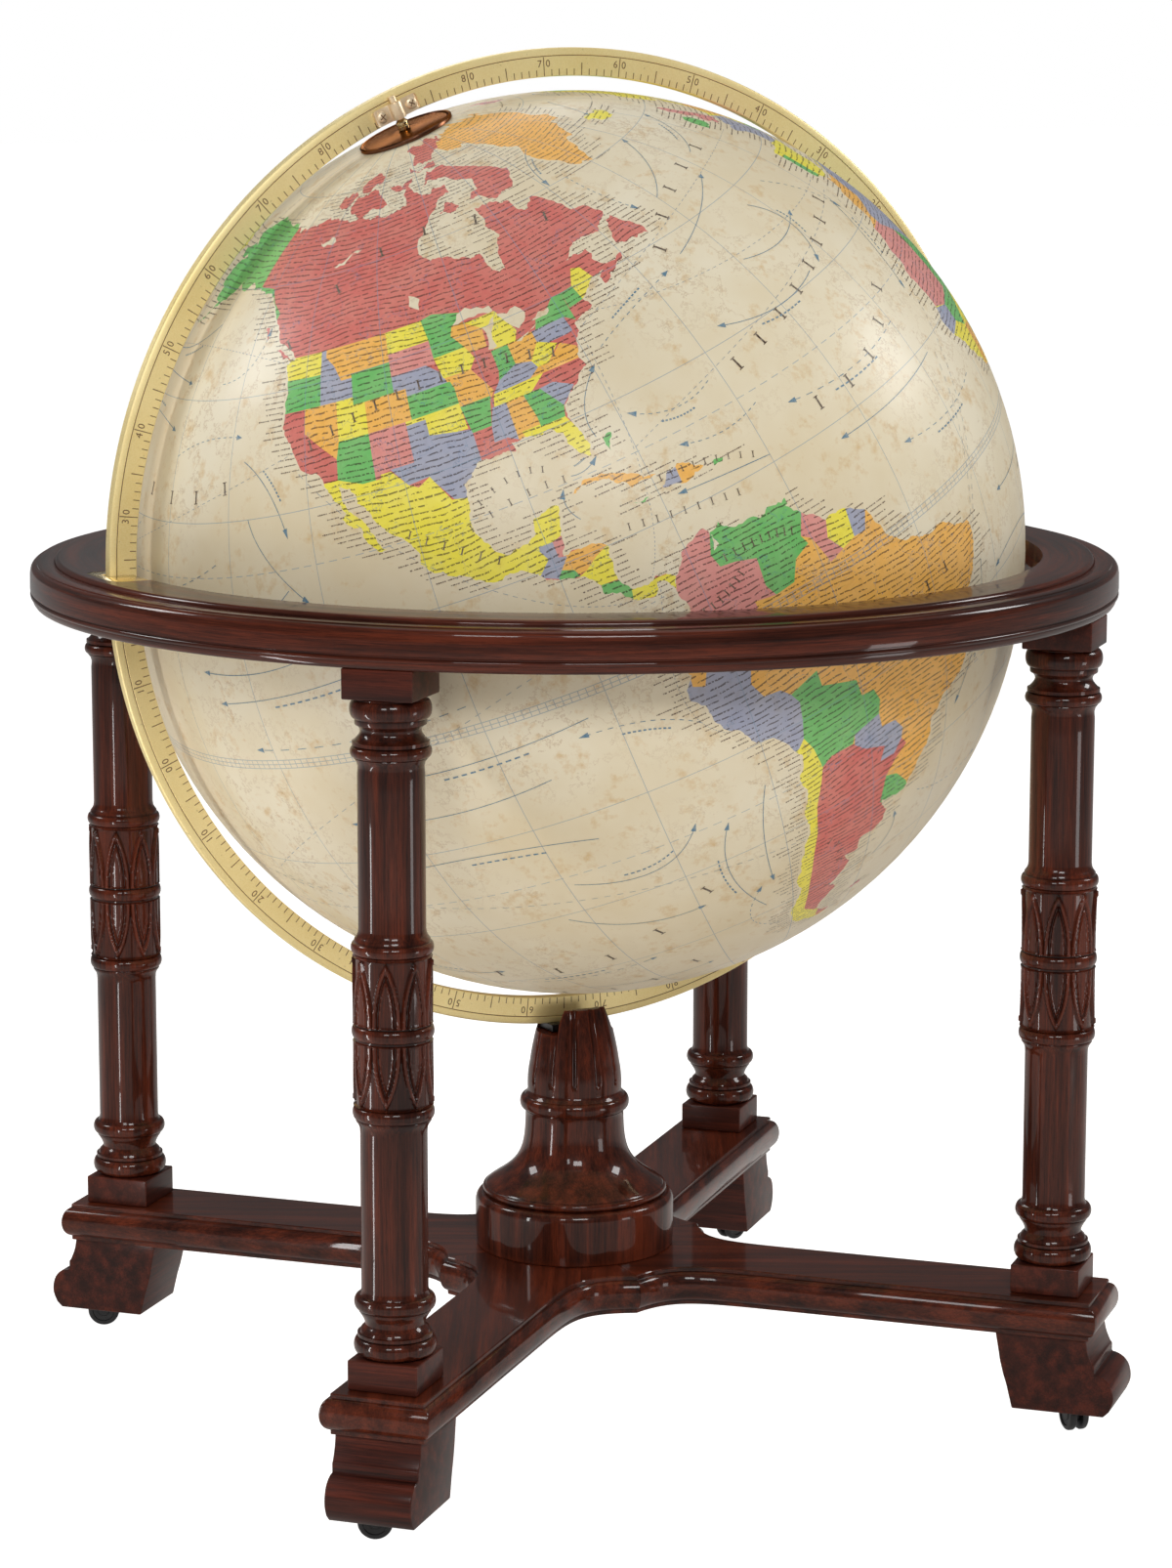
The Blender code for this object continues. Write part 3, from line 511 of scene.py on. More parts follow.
def makePlastic(name, tone, rough):
    paint = Paint(name)
    spot = paint.spot()
    grime = paint.noise(spot, 70, 4.0)
    fine = paint.noise(spot, 1400, 2.0)
    colour = paint.blend(paint.level(grime, 0.4, 0.75), tone, [v * 2.6 for v in tone])
    relief = paint.bump(fine, 0.12, 0.0002)
    return paint.set(Base_Color=colour, Roughness=rough + grime * 0.2, Normal=relief)


blackPlastic = makePlastic("blackNylon", (0.010, 0.010, 0.011), 0.24)


def makeInk(name, tone):
    paint = Paint(name)
    spot = paint.spot()
    patchy = paint.level(paint.noise(spot, 700, 2.0), 0.3, 0.8)
    colour = paint.blend(patchy, tone, [min(1, v * 1.9 + 0.02) for v in tone])
    return paint.set(Base_Color=colour, Roughness=0.5 + patchy * 0.1)


engraving = makeInk("engravedBrown", (0.11, 0.050, 0.018))

mapSet = {
    "paper": (0.80, 0.68, 0.455), "pale": (0.88, 0.795, 0.60), "tan": (0.66, 0.42, 0.15),
    "stain": (0.42, 0.24, 0.09), "line": (0.20, 0.31, 0.42), "rough": 0.48, "coat": 0.28, "coatRough": 0.26,
    "lineHalf": 0.045, "rowPitch": 0.74, "rowHigh": 0.18, "net": 15, "tropic": 23.44, "polar": 66.56,
}


def makeMapPaint(look):
    paint = Paint("printedMap")
    spot = paint.spot()
    flat = paint.node("UVMap", {"uv_map": "lonLat"})
    east = paint.node("SeparateXYZ", {}, {0: flat}, 0) * 360 - 180
    north = paint.node("SeparateXYZ", {}, {0: flat}, 1) * 180 - 90
    tint = paint.node("Attribute", {"attribute_name": "tint"})
    land = paint.node("Attribute", {"attribute_name": "land"}, {}, 2)

    # aged paper: soft clouds, tan flecks along the folds, a few brown stains
    cloud = paint.noise(spot, 5.5, 4.0, 0.6)
    mottle = paint.noise(spot, 34, 5.0, 0.66)
    fleck = paint.noise(spot, 88, 4.0, 0.68)
    paper = paint.blend(paint.level(cloud, 0.36, 0.62), look["paper"], look["pale"])
    paper = paint.blend(paint.level(mottle * 0.5 + fleck * 0.5, 0.53, 0.66) * 0.62, paper, look["tan"])
    veins = paint.level(abs(paint.noise(spot, 21, 6.0, 0.7) - 0.5), 0.016, 0.0)
    paper = paint.blend(veins * paint.level(cloud, 0.45, 0.58) * 0.40, paper, look["stain"])

    # lettered rows over the land, kept as plain broken strokes
    tilt = north + paint.noise(spot, 7, 1.0) * 5.0 + paint.noise(spot, 70, 1.0) * 0.5
    row = (tilt % look["rowPitch"]) < look["rowHigh"]
    words = paint.noise(paint.scaled(flat, (210, 200, 1)), 1.0, 2.0) > 0.43
    letters = paint.noise(paint.scaled(flat, (1500, 420, 1)), 1.0, 1.0) > 0.42
    strokes = row * words * letters
    rivers = paint.level(abs(paint.noise(spot, 19, 5.0, 0.6) - 0.5), 0.0045, 0.0015)
    shade = paint.level(mottle, 0.30, 0.70)
    country = paint.blend(shade * 0.14 + 0.06, tint, (0.95, 0.85, 0.64))
    country = paint.blend(paint.level(fleck, 0.52, 0.72) * 0.20, country, (0.55, 0.38, 0.16), "MULTIPLY")
    country = paint.blend(rivers * 0.45, country, (0.10, 0.22, 0.36))
    country = paint.blend(strokes * 0.76, country, (0.045, 0.028, 0.020))
    colour = paint.blend(land, paper, country)

    # graticule, tropics and the scaled equator
    shrink = paint.node("Math", {"operation": "COSINE"}, {0: north * (math.pi / 180)})
    meridians = abs((east / look["net"] + 0.5) % 1.0 - 0.5) * look["net"] * shrink < look["lineHalf"]
    parallels = abs((north / look["net"] + 0.5) % 1.0 - 0.5) * look["net"] < look["lineHalf"]
    scale = (abs(abs(north) - 0.55) < 0.05).most((abs(north) < 0.55) * (abs(((east + 0.5) % 1.0) - 0.5) < 0.05))
    polar = ((east % 3.0) < 1.8) * (abs(abs(north) - look["polar"]) < 0.05)
    dashes = ((east % 2.0) < 1.2) * (abs(abs(north) - look["tropic"]) < 0.05).most(polar)
    lines = meridians.most(parallels).most(scale).most(dashes)
    colour = paint.blend(lines * 0.62, colour, look["line"])

    relief = paint.bump(mottle + fleck * 0.4, 0.02, 0.0006)
    paint.set(Base_Color=colour, Roughness=look["rough"] + mottle * 0.12, Normal=relief, Specular_IOR_Level=0.3)
    return paint.set(Coat_Weight=look["coat"], Coat_Roughness=look["coatRough"], Coat_IOR=1.45)


mapPaint = makeMapPaint(mapSet)


def makePrint():
    paint = Paint("printInk")
    tint = paint.node("Attribute", {"attribute_name": "tint"})
    spot = paint.spot()
    patchy = paint.level(paint.noise(spot, 420, 2.0), 0.35, 0.75)
    colour = paint.blend(patchy * 0.35, tint, (0.86, 0.77, 0.59))
    return paint.set(Base_Color=colour, Roughness=0.4 + patchy * 0.1)


printInk = makePrint()
print("finishes made")


# the stand's base
baseSet = {"top": 128.0, "height": 35.0, "fillet": 4.0, "bulge": 7.5, "half": 42.0, "root": 91.5, "sweep": 18.6,
           "length": 497.7, "gap": 0.3, "tip": 7.0, "bend": 26}


def sweepHalf(along):
    flare = baseSet["root"] - baseSet["half"]
    return baseSet["half"] + flare * math.exp(-(along - baseSet["root"]) / baseSet["sweep"])


def armOutline(offset):
    half = []
    reach = 5.2 * baseSet["sweep"]
    for step in range(baseSet["bend"] + 1):
        along = baseSet["root"] + reach * (step / baseSet["bend"]) ** 1.5
        slope = -(sweepHalf(along) - baseSet["half"]) / baseSet["sweep"]
        normal = Vector((-slope, 1.0)).normalized()
        if step == 0:
            shift = offset / (normal.x + normal.y)
            half.append((along + shift, sweepHalf(along) + shift - baseSet["gap"] / math.sqrt(2)))
        else:
            half.append((along + normal.x * offset, sweepHalf(along) + normal.y * offset))
    for back, narrow in ((2.0, 0), (0.6, 0.6), (0, 2.0)):  # the clipped corner
        half.append((baseSet["length"] + offset - back, baseSet["half"] + offset - narrow))
    tip = baseSet["tip"]
    outline = [(tip, tip - baseSet["gap"] / math.sqrt(2))] + half
    return outline + [(along, -across) for along, across in reversed(outline)]


def makeArm():
    low = baseSet["top"] - baseSet["height"]
    levels = [(0.0, low), (0.0, low + baseSet["fillet"] - 0.4)]
    levels += curve((0.0, baseSet["top"] - baseSet["height"] / 2),
                    (baseSet["bulge"], baseSet["height"] / 2 - baseSet["fillet"]), -90, 90, 14)
    levels += [(0.0, baseSet["top"] - baseSet["fillet"] + 0.4), (0.0, baseSet["top"] - 0.8), (-0.8, baseSet["top"])]
    flat = armOutline(0.0)
    arm = drawLine("baseArm", [(x * mm, y * mm, low * mm) for x, y in flat], closed=True)
    bpy.ops.mesh.edge_face_add()
    heights = [low]
    for before, after in zip(levels, levels[1:]):
        rise = max(after[1] - before[1], 0.01)
        heights.append(heights[-1] + rise)
        bpy.ops.mesh.extrude_region_move(TRANSFORM_OT_translate={"value": (0, 0, rise * mm)})
    bpy.ops.object.mode_set(mode="OBJECT")
    spots = points(arm)
    # each level of the board is drawn in or out to its own outline
    outlines = [numpy.array(armOutline(offset)) for offset, height in levels]
    base = numpy.array(flat)
    for index, spot in enumerate(spots):
        level = int(numpy.argmin(numpy.abs(numpy.array(heights) - spot[2] / mm)))
        nearest = int(numpy.argmin(((base - spot[:2] / mm) ** 2).sum(1)))
        spots[index] = (*(outlines[level][nearest] * mm), levels[level][1] * mm)
    setPoints(arm, spots)
    tidyFaces(arm)
    editAll(arm)
    bpy.ops.mesh.quads_convert_to_tris()
    bpy.ops.object.mode_set(mode="OBJECT")
    storeGrain(arm, [0, 1, 2], slant=0.34)
    storeWearAndShade(arm, 0.0016)
    smoothBy(arm, 30)
    return arm


footSet = {"half": 38.5, "low": 23.0, "high": 92.7, "toe": 497.7, "back": 412.0, "slope": 16.0, "scroll": 22.6,
           "recess": 28.0, "recessTop": 34.5, "stem": 4.2, "stemTop": 66, "swivel": 472.0, "edge": 1.3}


def makeFoot():
    rise = footSet["high"] - footSet["low"]
    reach = footSet["scroll"]
    shape = [(reach * 0.60, 0.0), (reach * 0.83, 0.075), (reach * 0.94, 0.155), (reach * 0.99, 0.21), (reach, 0.265),
             (reach * 0.985, 0.32), (reach * 0.94, 0.378), (reach * 0.88, 0.425), (reach * 0.79, 0.466),
             (reach * 0.69, 0.498), (reach * 0.58, 0.522), (reach * 0.46, 0.540), (reach * 0.36, 0.552), (4.8, 0.560)]
    shape += [(4.8, 0.675), (3.6, 0.690), (2.6, 0.715), (1.7, 0.745), (0.6, 0.780), (-0.4, 0.820), (-1.2, 0.855),
              (-1.8, 0.890), (-2.4, 0.940), (-3.0, 1.0)]
    outline = [(footSet["toe"] + x, footSet["low"] + z * rise) for x, z in shape]
    rear = [(0.0, 1.0), (0.14, 0.82), (0.29, 0.617), (0.46, 0.46), (0.68, 0.30), (0.84, 0.15), (1.0, 0.0)]
    outline += [(footSet["back"] + share * footSet["slope"], footSet["low"] + z * rise) for share, z in rear]
    half = footSet["half"]
    foot = extrudeFlat("foot", [(x * mm, -half * mm, z * mm) for x, z in outline], (0, 2 * half * mm, 0))
    softenEdges(foot, footSet["edge"], 3, 28)
    tool = lathe("recessTool", [(0, 10), (footSet["recess"], 10), (footSet["recess"], footSet["recessTop"]),
                                (footSet["stem"], footSet["recessTop"]), (footSet["stem"], footSet["stemTop"]),
                                (0, footSet["stemTop"])], 64)
    place(tool, Matrix.Translation((footSet["swivel"] * mm, 0, 0)))
    carve(foot, tool)
    storeGrain(foot, [1, 0, 2])
    storeWearAndShade(foot, 0.0009)
    smoothBy(foot, 26)
    return foot


blockSet = {"radial": 454, "half": 31.0, "high": 25.7, "edge": 1.3, "lower": 128.3, "upper": 709.0}


def makeBlock(low):
    half, radial = blockSet["half"], blockSet["radial"]
    block = blockTool((radial - half, -half, low), (radial + half, half, low + blockSet["high"]))
    softenEdges(block, blockSet["edge"], 4, 30)
    storeGrain(block, [1, 0, 2])
    storeWearAndShade(block, 0.0007)
    smoothBy(block, 40)
    return block


def onEachLeg(item, name, node, material, slotName, outward=0.0):
    for leg, degrees in legNames.items():
        twin = copyOf(item, name + "-" + leg, turnedLeg(degrees, outward))
        finish(twin, material, "stand", slotName, node + "_" + leg)
    bpy.data.objects.remove(item)


onEachLeg(makeArm(), "arm", "base_arm", glossWood, "mahogany")
onEachLeg(makeFoot(), "foot", "foot", satinWood, "mahogany_satin")
onEachLeg(makeBlock(blockSet["lower"]), "lowerBlock", "lower_block", satinWood, "mahogany_satin")
onEachLeg(makeBlock(blockSet["upper"]), "upperBlock", "upper_block", satinWood, "mahogany_satin")
print("arms, feet and blocks made")


# the turned columns and their carved sleeves
columnSet = {"radial": 454.0, "low": 154.3, "high": 708.7, "steps": 256, "leaves": 8, "carved": 33.3, "deep": 2.6,
             "bands": ((369.0, 423.0, -1), (438.0, 494.0, 1))}  # low, high, and 1 where the leaves point up


def sleeve(low, high, sense):
    # a smooth band with a ring of corners at every mm, to be carved
    return [(columnSet["carved"], low + step) for step in range(int(high - low) + 1)]


def columnProfile():
    low, high = columnSet["low"], columnSet["high"]
    made = [(0, low), (27.6, low), (28.6, low + 0.8), (29.3, 156.0)] + bead(156.2, 170.6, 30.4, 34.7)
    made += [(30.6, 171.0), (31.6, 171.4), (31.6, 174.0), (29.6, 174.6), (29.2, 175.6), (28.5, 177.6), (26.4, 179.6)]
    made += [(25.2, 181.4), (25.6, 184.0), (26.9, 187.0), (28.7, 190.0), (30.2, 192.2), (30.6, 193.8)]
    made += bead(194.2, 206.4, 30.2, 34.1) + [(29.4, 206.8), (28.6, 208.6), (27.9, 211.5)]
    made += [(27.9, z) for z in (240, 270, 300, 330, 345)] + [(28.2, 349.0), (29.2, 352.0), (30.9, 354.4)]
    made += [(31.4, 355.2), (31.4, 356.8)] + bead(357.2, 368.0, 31.2, 34.0) + [(32.2, 368.4)]
    made += sleeve(*columnSet["bands"][0])
    made += [(31.4, 423.8), (31.3, 425.0)] + bead(425.4, 436.6, 31.4, 34.2) + [(31.3, 437.0), (31.5, 437.6)]
    made += sleeve(*columnSet["bands"][1])
    made += [(32.4, 494.8), (32.2, 496.0)] + bead(496.4, 506.2, 31.6, 34.3) + [(31.5, 506.6), (31.4, 508.4)]
    made += [(29.7, 510.6), (28.4, 513.2), (27.9, 517.0)] + [(27.9, z) for z in (545, 575, 605, 632, 646)]
    made += [(27.5, 649.6), (27.4, 652.0), (28.4, 655.6), (30.8, 658.8)] + bead(659.4, 668.8, 30.6, 33.7)
    made += [(30.8, 669.4), (31.9, 669.8), (31.9, 672.6), (30.4, 673.2), (28.0, 675.8), (26.0, 678.4), (25.1, 680.8)]
    made += [(25.6, 683.0), (27.2, 685.2), (29.4, 686.4), (29.8, 687.2), (29.8, 690.8)]
    made += bead(691.2, 707.2, 29.8, 33.9, 12) + [(30.0, 708.0), (29.4, high), (0, high)]
    return made


def leafRelief(across, up):
    # across runs -0.5 to 0.5 over one leaf, up runs 0 at the root to 1 at the tip
    side = numpy.abs(across)

    def arch(share, half):
        return half * (1 - numpy.clip(share, 0, 1) ** 2.2) ** 0.88

    def ease(value, width):
        share = numpy.clip(value / width + 0.5, 0, 1)
        return share ** 2 * (3 - 2 * share)

    inside = arch(up, 0.475) - side
    core = arch(up / 0.76, 0.25) - side
    height = -1.0 + ease(inside, 0.05) - ease(inside - 0.135, 0.05) * 0.85
    height += ease(core, 0.04) * 0.75 - ease(core - 0.055, 0.05) * 0.45
    return height


def makeColumn():
    column = lathe("column", columnProfile(), columnSet["steps"])
    spots = points(column)
    radius, angle = aroundZ(spots)
    turn = angle / (2 * math.pi) * columnSet["leaves"] + 0.25
    across = turn - numpy.floor(turn) - 0.5
    for low, high, sense in columnSet["bands"]:
        share = (spots[:, 2] / mm - low) / (high - low)
        inside = (share > -0.001) & (share < 1.001) & (radius / mm > columnSet["carved"] - 0.3)
        up = share if sense > 0 else 1 - share
        up = (up - 0.02) / 0.94
        margin = numpy.clip(numpy.minimum(share, 1 - share) / 0.02, 0, 1)
        push = leafRelief(across, up) * columnSet["deep"] * mm * margin
        grown = numpy.where(inside, (radius + push) / numpy.maximum(radius, 1e-6), 1.0)
        spots[:, 0] *= grown
        spots[:, 1] *= grown
    setPoints(column, spots)
    storeGrain(column, [2, 0, 1])
    storeWearAndShade(column, 0.0014)
    smoothBy(column, 38)
    return column


onEachLeg(makeColumn(), "column", "column", glossWood, "mahogany", columnSet["radial"])
print("columns turned and carved")


# the pedestal
pedestalSet = {"steps": 288, "flutes": 12, "fluteDeep": 2.4, "fluteLow": 281.0, "fluteHalf": 2.7, "turned": 4.0,
               "bulb": 274.4, "top": 353.5, "slot": 20.5, "floor": 330.1}


def makePedestal():
    profile = [(0, 128.3), (90.2, 128.3), (90.8, 128.9), (91.3, 134), (91.7, 144), (91.9, 156.0), (91.9, 168.0)]
    profile += curve((86.4, 168.4), (5.5, 8.6), 0, 86, 10)[1:] + [(84.0, 177.2), (0, 177.2)]
    drum = lathe("pedestalDrum", profile, 160)
    carve(drum, lathe("drumBore", [(0, 120), (6, 120), (6, 184), (0, 184)], 32))
    profile = [(0, 177.5), (82.4, 177.5)] + bead(177.9, 184.6, 82.6, 85.2, 8) + [(82.4, 184.9), (82.0, 185.6)]
    for step in range(1, 25):
        height = 67.4 * (step / 24) ** 1.25
        profile.append((45.2 + 36.2 * math.exp(-(height / 17.5) ** 1.25), 185.8 + height))
    profile += [(46.6, 255.2)] + bead(256.0, 269.2, 46.4, 50.5, 10) + [(45.6, 270.2), (44.6, 271.8), (43.4, 273.6)]
    top, bulb, low = pedestalSet["top"], pedestalSet["bulb"], pedestalSet["fluteLow"]
    for step in range(37):
        share = step / 36
        swell = 0.5 * math.sin(math.pi * min(share * 3, 1))
        profile.append((43.3 - 14.5 * share ** 1.8 + swell, bulb + (top - bulb) * share))
    profile += [(27.6, top), (0, top)]
    bell = lathe("pedestalBell", profile, pedestalSet["steps"])
    spots = points(bell)
    radius, angle = aroundZ(spots)
    radius = radius / mm
    share = numpy.clip((spots[:, 2] / mm - low) / (top - low), 0, 1)
    turn = (angle - math.radians(pedestalSet["turned"])) / (2 * math.pi) * pedestalSet["flutes"] + 0.5
    across = numpy.abs(turn - numpy.floor(turn) - 0.5) * 2 * math.pi / pedestalSet["flutes"] * radius
    width = pedestalSet["fluteHalf"] * numpy.sqrt(numpy.clip(share / 0.07, 0.0001, 1))
    groove = numpy.sqrt(numpy.clip(1 - (across / width) ** 2, 0, 1))
    push = numpy.where((share > 0) & (radius > 20), groove * pedestalSet["fluteDeep"], 0)
    shrunk = (radius - push) / numpy.maximum(radius, 1e-6)
    spots[:, 0] *= shrunk
    spots[:, 1] *= shrunk
    setPoints(bell, spots)
    carve(bell, blockTool((-90, -pedestalSet["slot"], pedestalSet["floor"]), (90, pedestalSet["slot"], 360)))
    carve(bell, lathe("bellBore", [(0, 150), (6, 150), (6, 235), (0, 235)], 32))
    for piece, node in ((drum, "pedestal_base"), (bell, "pedestal_bell")):
        storeGrain(piece, [2, 0, 1])
        storeWearAndShade(piece, 0.0016)
        smoothBy(piece, 34)
        finish(piece, glossWood, "stand", "mahogany", node)


makePedestal()
print("pedestal made")


# the horizon board, its rim and its slot plates
horizonSet = {"inner": 421.6, "outer": 467.8, "low": 735.0, "high": 776.0, "rimInner": 468.1, "rimOuter": 490.3,
              "rimHigh": 771.8, "steps": 288, "slotLow": 2.0, "slotHigh": 16.0, "slotEnd": 447.0,
              "plateInner": 422.2, "plateOuter": 456.6, "plateHalf": 36.5, "plateClip": 9.0, "plateTop": 775.9}


def plateShape(sign, grow, inner):
    outer = horizonSet["plateOuter"] + grow
    half = horizonSet["plateHalf"] + grow
    clip = horizonSet["plateClip"]
    shape = [(inner, -half), (outer - clip, -half), (outer, -half + clip), (outer, half - clip), (outer - clip, half),
             (inner, half)]
    return [(sign * x, sign * y) for x, y in shape]


def plateSolid(name, shape, low, thick):
    return extrudeFlat(name, [(x * mm, y * mm, low * mm) for x, y in shape], (0, 0, thick * mm))


def slotTool(sign, low, high):
    ends = sorted((sign * 400, sign * horizonSet["slotEnd"]))
    return blockTool((ends[0], horizonSet["slotLow"], low), (ends[1], horizonSet["slotHigh"], high))


def makeHorizon():
    low, high = horizonSet["low"], horizonSet["high"]
    inner, outer = horizonSet["inner"], horizonSet["outer"]
    profile = [(inner + 0.8, low), (inner, low + 0.8), (inner, high - 1.0), (inner + 0.3, high - 0.3)]
    profile += [(inner + 1.0, high), (inner + 16, high), (outer - 16, high)]
    profile += curve((outer - 4, high - 4), (4, 4), 90, 0, 8)
    profile += [(outer, low + 0.8), (outer - 0.8, low)]
    panel = lathe("horizonPanel", profile, horizonSet["steps"], closed=True)
    for sign in (-1, 1):
        carve(panel, slotTool(sign, low - 5, high + 5))
        carve(panel, plateSolid("pocketTool", plateShape(sign, 0.3, 410), horizonSet["plateTop"] - 2.2, 8))
    rimIn, rimOut, rimHigh = horizonSet["rimInner"], horizonSet["rimOuter"], horizonSet["rimHigh"]
    profile = [(rimIn + 0.6, low), (rimIn, low + 0.6), (rimIn, rimHigh - 0.4), (rimIn + 0.6, rimHigh)]
    profile += [(rimIn + 8, rimHigh), (rimOut - 8.6, rimHigh), (rimOut - 6.6, rimHigh - 0.5)]
    profile += [(rimOut - 6.2, rimHigh - 1.5)]
    profile += curve((rimOut - 6.2, rimHigh - 7.6), (5.6, 6.0), 86, 0, 8)
    profile += [(rimOut - 0.2, rimHigh - 10), (rimOut, low + 14.0), (rimOut - 0.2, low + 12.2)]
    profile += [(rimOut - 1.7, low + 11.4), (rimOut - 1.8, low + 10.8)]
    profile += bead(low + 6.2, low + 10.6, rimOut - 1.9, rimOut, 6)
    profile += [(rimOut - 1.9, low + 5.8), (rimOut - 2.0, low + 4.8), (rimOut - 2.6, low + 2.4)]
    profile += [(rimOut - 3.8, low + 0.6), (rimOut - 4.8, low)]
    rim = lathe("horizonRim", profile, horizonSet["steps"], closed=True)
    for piece, node in ((panel, "horizon_panel"), (rim, "horizon_rim")):
        storeGrain(piece, [0, 1, 2], around=True)
        storeWearAndShade(piece, 0.0010)
        smoothBy(piece, 34)
        finish(piece, glossWood, "stand", "mahogany", node)
    for side, sign in (("left", -1), ("right", 1)):
        top, thick = horizonSet["plateTop"], 1.9
        shape = plateShape(sign, 0.0, horizonSet["plateInner"])
        plate = plateSolid("slotPlate-" + side, shape, top - thick, thick)
        carve(plate, slotTool(sign, top - 8, top + 8))
        softenEdges(plate, 0.35, 2, 30)
        smoothBy(plate, 40)
        finish(plate, polishedBrass, "stand", "brass", "slot_plate_" + side)


makeHorizon()
print("horizon made")


# the meridian ring, its scale and the pole fittings
ringSet = {"inner": 419.0, "outer": 444.0, "face": 3.5, "back": 14.5, "tilt": 23.8, "centre": 780.0, "steps": 360,
           "digit": 9.108, "digitAt": 430.4, "digitApart": 4.1, "mark": 0.06,
           # name, from and to which radius, width, how many, where the first stands
           "ticks": (("ringTicks", 419.8, 425.4, 0.72, 360, 0), ("fives", 425.3, 430.6, 0.86, 36, 5),
                     ("tens", 425.3, 436.4, 0.80, 36, 0))}
centre = Vector((0, 0, ringSet["centre"] * mm))
tilt = math.radians(ringSet["tilt"])
pole = Vector((-math.sin(tilt), 0, math.cos(tilt)))
level = Vector((math.cos(tilt), 0, math.sin(tilt)))
ringTurn = Matrix.Translation(centre) @ Matrix.Rotation(math.radians(-90), 4, "X")


def frameOf(up, out, spot):
    turn = Matrix((up.cross(out), up, out)).transposed().to_4x4()
    turn.translation = spot
    return turn


def poleTurn(sign):
    return frameOf(Vector((0, 1, 0)), pole * sign, centre)


def faceTurn(degrees, radius):
    # on the ring's graduated face: up is outward, Z towards whoever reads it
    angle = math.radians(degrees)
    up = pole * math.cos(angle) + level * math.sin(angle)
    return frameOf(up, Vector((0, -1, 0)), centre + up * radius * mm + Vector((0, ringSet["face"] * mm, 0)))


def makeTicks(name, low, high, width, count, start):
    tick = blockTool((-width / 2, 0, -ringSet["mark"]), (width / 2, high - low, ringSet["mark"]))
    tick.name = name
    place(tick, faceTurn(start, low))
    editAll(tick)
    sweep = 2 * math.pi * (count - 1) / count
    bpy.ops.mesh.spin(steps=count - 1, dupli=True, angle=sweep, center=centre, axis=(0, 1, 0))
    bpy.ops.object.mode_set(mode="OBJECT")
    return tick


def makeDigits():
    shapes = {}
    for digit in "0123456789":
        putDown()
        bpy.ops.object.text_add()
        letter = bpy.context.object
        letter.data.body = digit
        letter.data.size = ringSet["digit"] * mm
        letter.data.align_x = "CENTER"
        letter.data.align_y = "CENTER"
        letter.data.extrude = ringSet["mark"] * mm
        letter.data.resolution_u = 3
        bpy.ops.object.convert(target="MESH")
        shapes[digit] = bpy.context.object
    placed = []
    for mark in range(36):
        number = f"{abs(abs((mark * 10 + 180) % 360 - 180) - 90):02d}"
        for digit, side in zip(number, (-1, 1)):
            aside = Matrix.Translation((side * ringSet["digitApart"] * mm, 0, 0))
            turn = faceTurn(mark * 10, ringSet["digitAt"]) @ aside
            placed.append(copyOf(shapes[digit], "digit", turn))
    for shape in shapes.values():
        bpy.data.objects.remove(shape)
    return joinUp("ringNumbers", placed)


def makeRing():
    inner, outer, face, back = ringSet["inner"], ringSet["outer"], ringSet["face"], ringSet["back"]
    profile = [(inner + 0.6, face), (436.6, face), (436.9, face + 0.35), (437.4, face + 0.35), (437.7, face + 0.05)]
    profile += [(442.6, face + 0.40), (443.4, face + 0.8), (outer, face + 1.7), (outer, back - 1.4)]
    profile += [(outer - 1.4, back), (inner + 0.6, back), (inner, back - 0.6), (inner, face + 0.6)]
    ring = lathe("meridianRing", profile, ringSet["steps"], closed=True)
    place(ring, ringTurn)
    smoothBy(ring, 30)
    finish(ring, satinBrass, "meridian", "brass", "meridian_ring")
    marks = [makeTicks(*row) for row in ringSet["ticks"]]
    flat = [(low, face + shift) for low, shift in ((436.55, 0.24), (437.45, 0.24), (437.45, 0.36), (436.55, 0.36))]
    marks.append(place(lathe("ringLine", flat, ringSet["steps"], closed=True), ringTurn))
    finish(joinUp("ringScale", marks), engraving, "meridian", "brass")
    finish(makeDigits(), engraving, "meridian", "brass")


makeRing()
print("meridian ring made")


poleSet = {"half": 22.0, "low": 419.4, "high": 434.4, "front": 0.2, "back": 3.2, "boss": 6.2, "screwAt": 15.0,
           "dial": 43.0, "ball": 406.7}


def makeBracket():
    boss = poleSet["boss"]
    outline = [(-poleSet["half"], poleSet["back"]), (-poleSet["half"], poleSet["front"]), (-boss, poleSet["front"])]
    outline += curve((0, 0), (boss, boss), -176, -4, 16)
    outline += [(boss, poleSet["front"]), (poleSet["half"], poleSet["front"]), (poleSet["half"], poleSet["back"])]
    rise = (0, 0, (poleSet["high"] - poleSet["low"]) * mm)
    bracket = extrudeFlat("bracket", [(x * mm, y * mm, poleSet["low"] * mm) for x, y in outline], rise)
    # the plate's four corners are rounded more than its edges
    editAll(bracket)
    bpy.ops.mesh.select_all(action="DESELECT")
    bpy.ops.object.mode_set(mode="OBJECT")
    for edge in bracket.data.edges:
        ends = [bracket.data.vertices[index].co / mm for index in edge.vertices]
        edge.select = all(abs(abs(end.x) - poleSet["half"]) < 0.01 for end in ends) and abs(ends[0].y - ends[1].y) > 1
    bpy.ops.object.mode_set(mode="EDIT")
    bpy.ops.mesh.bevel(offset=3.0 * mm, segments=6)
    bpy.ops.object.mode_set(mode="OBJECT")
    softenEdges(bracket, 0.5, 3, 32)
    carve(bracket, lathe("pinBore", [(0, 410), (3.2, 410), (3.2, 440), (0, 440)], 32))
    smoothBy(bracket, 34)
    return bracket


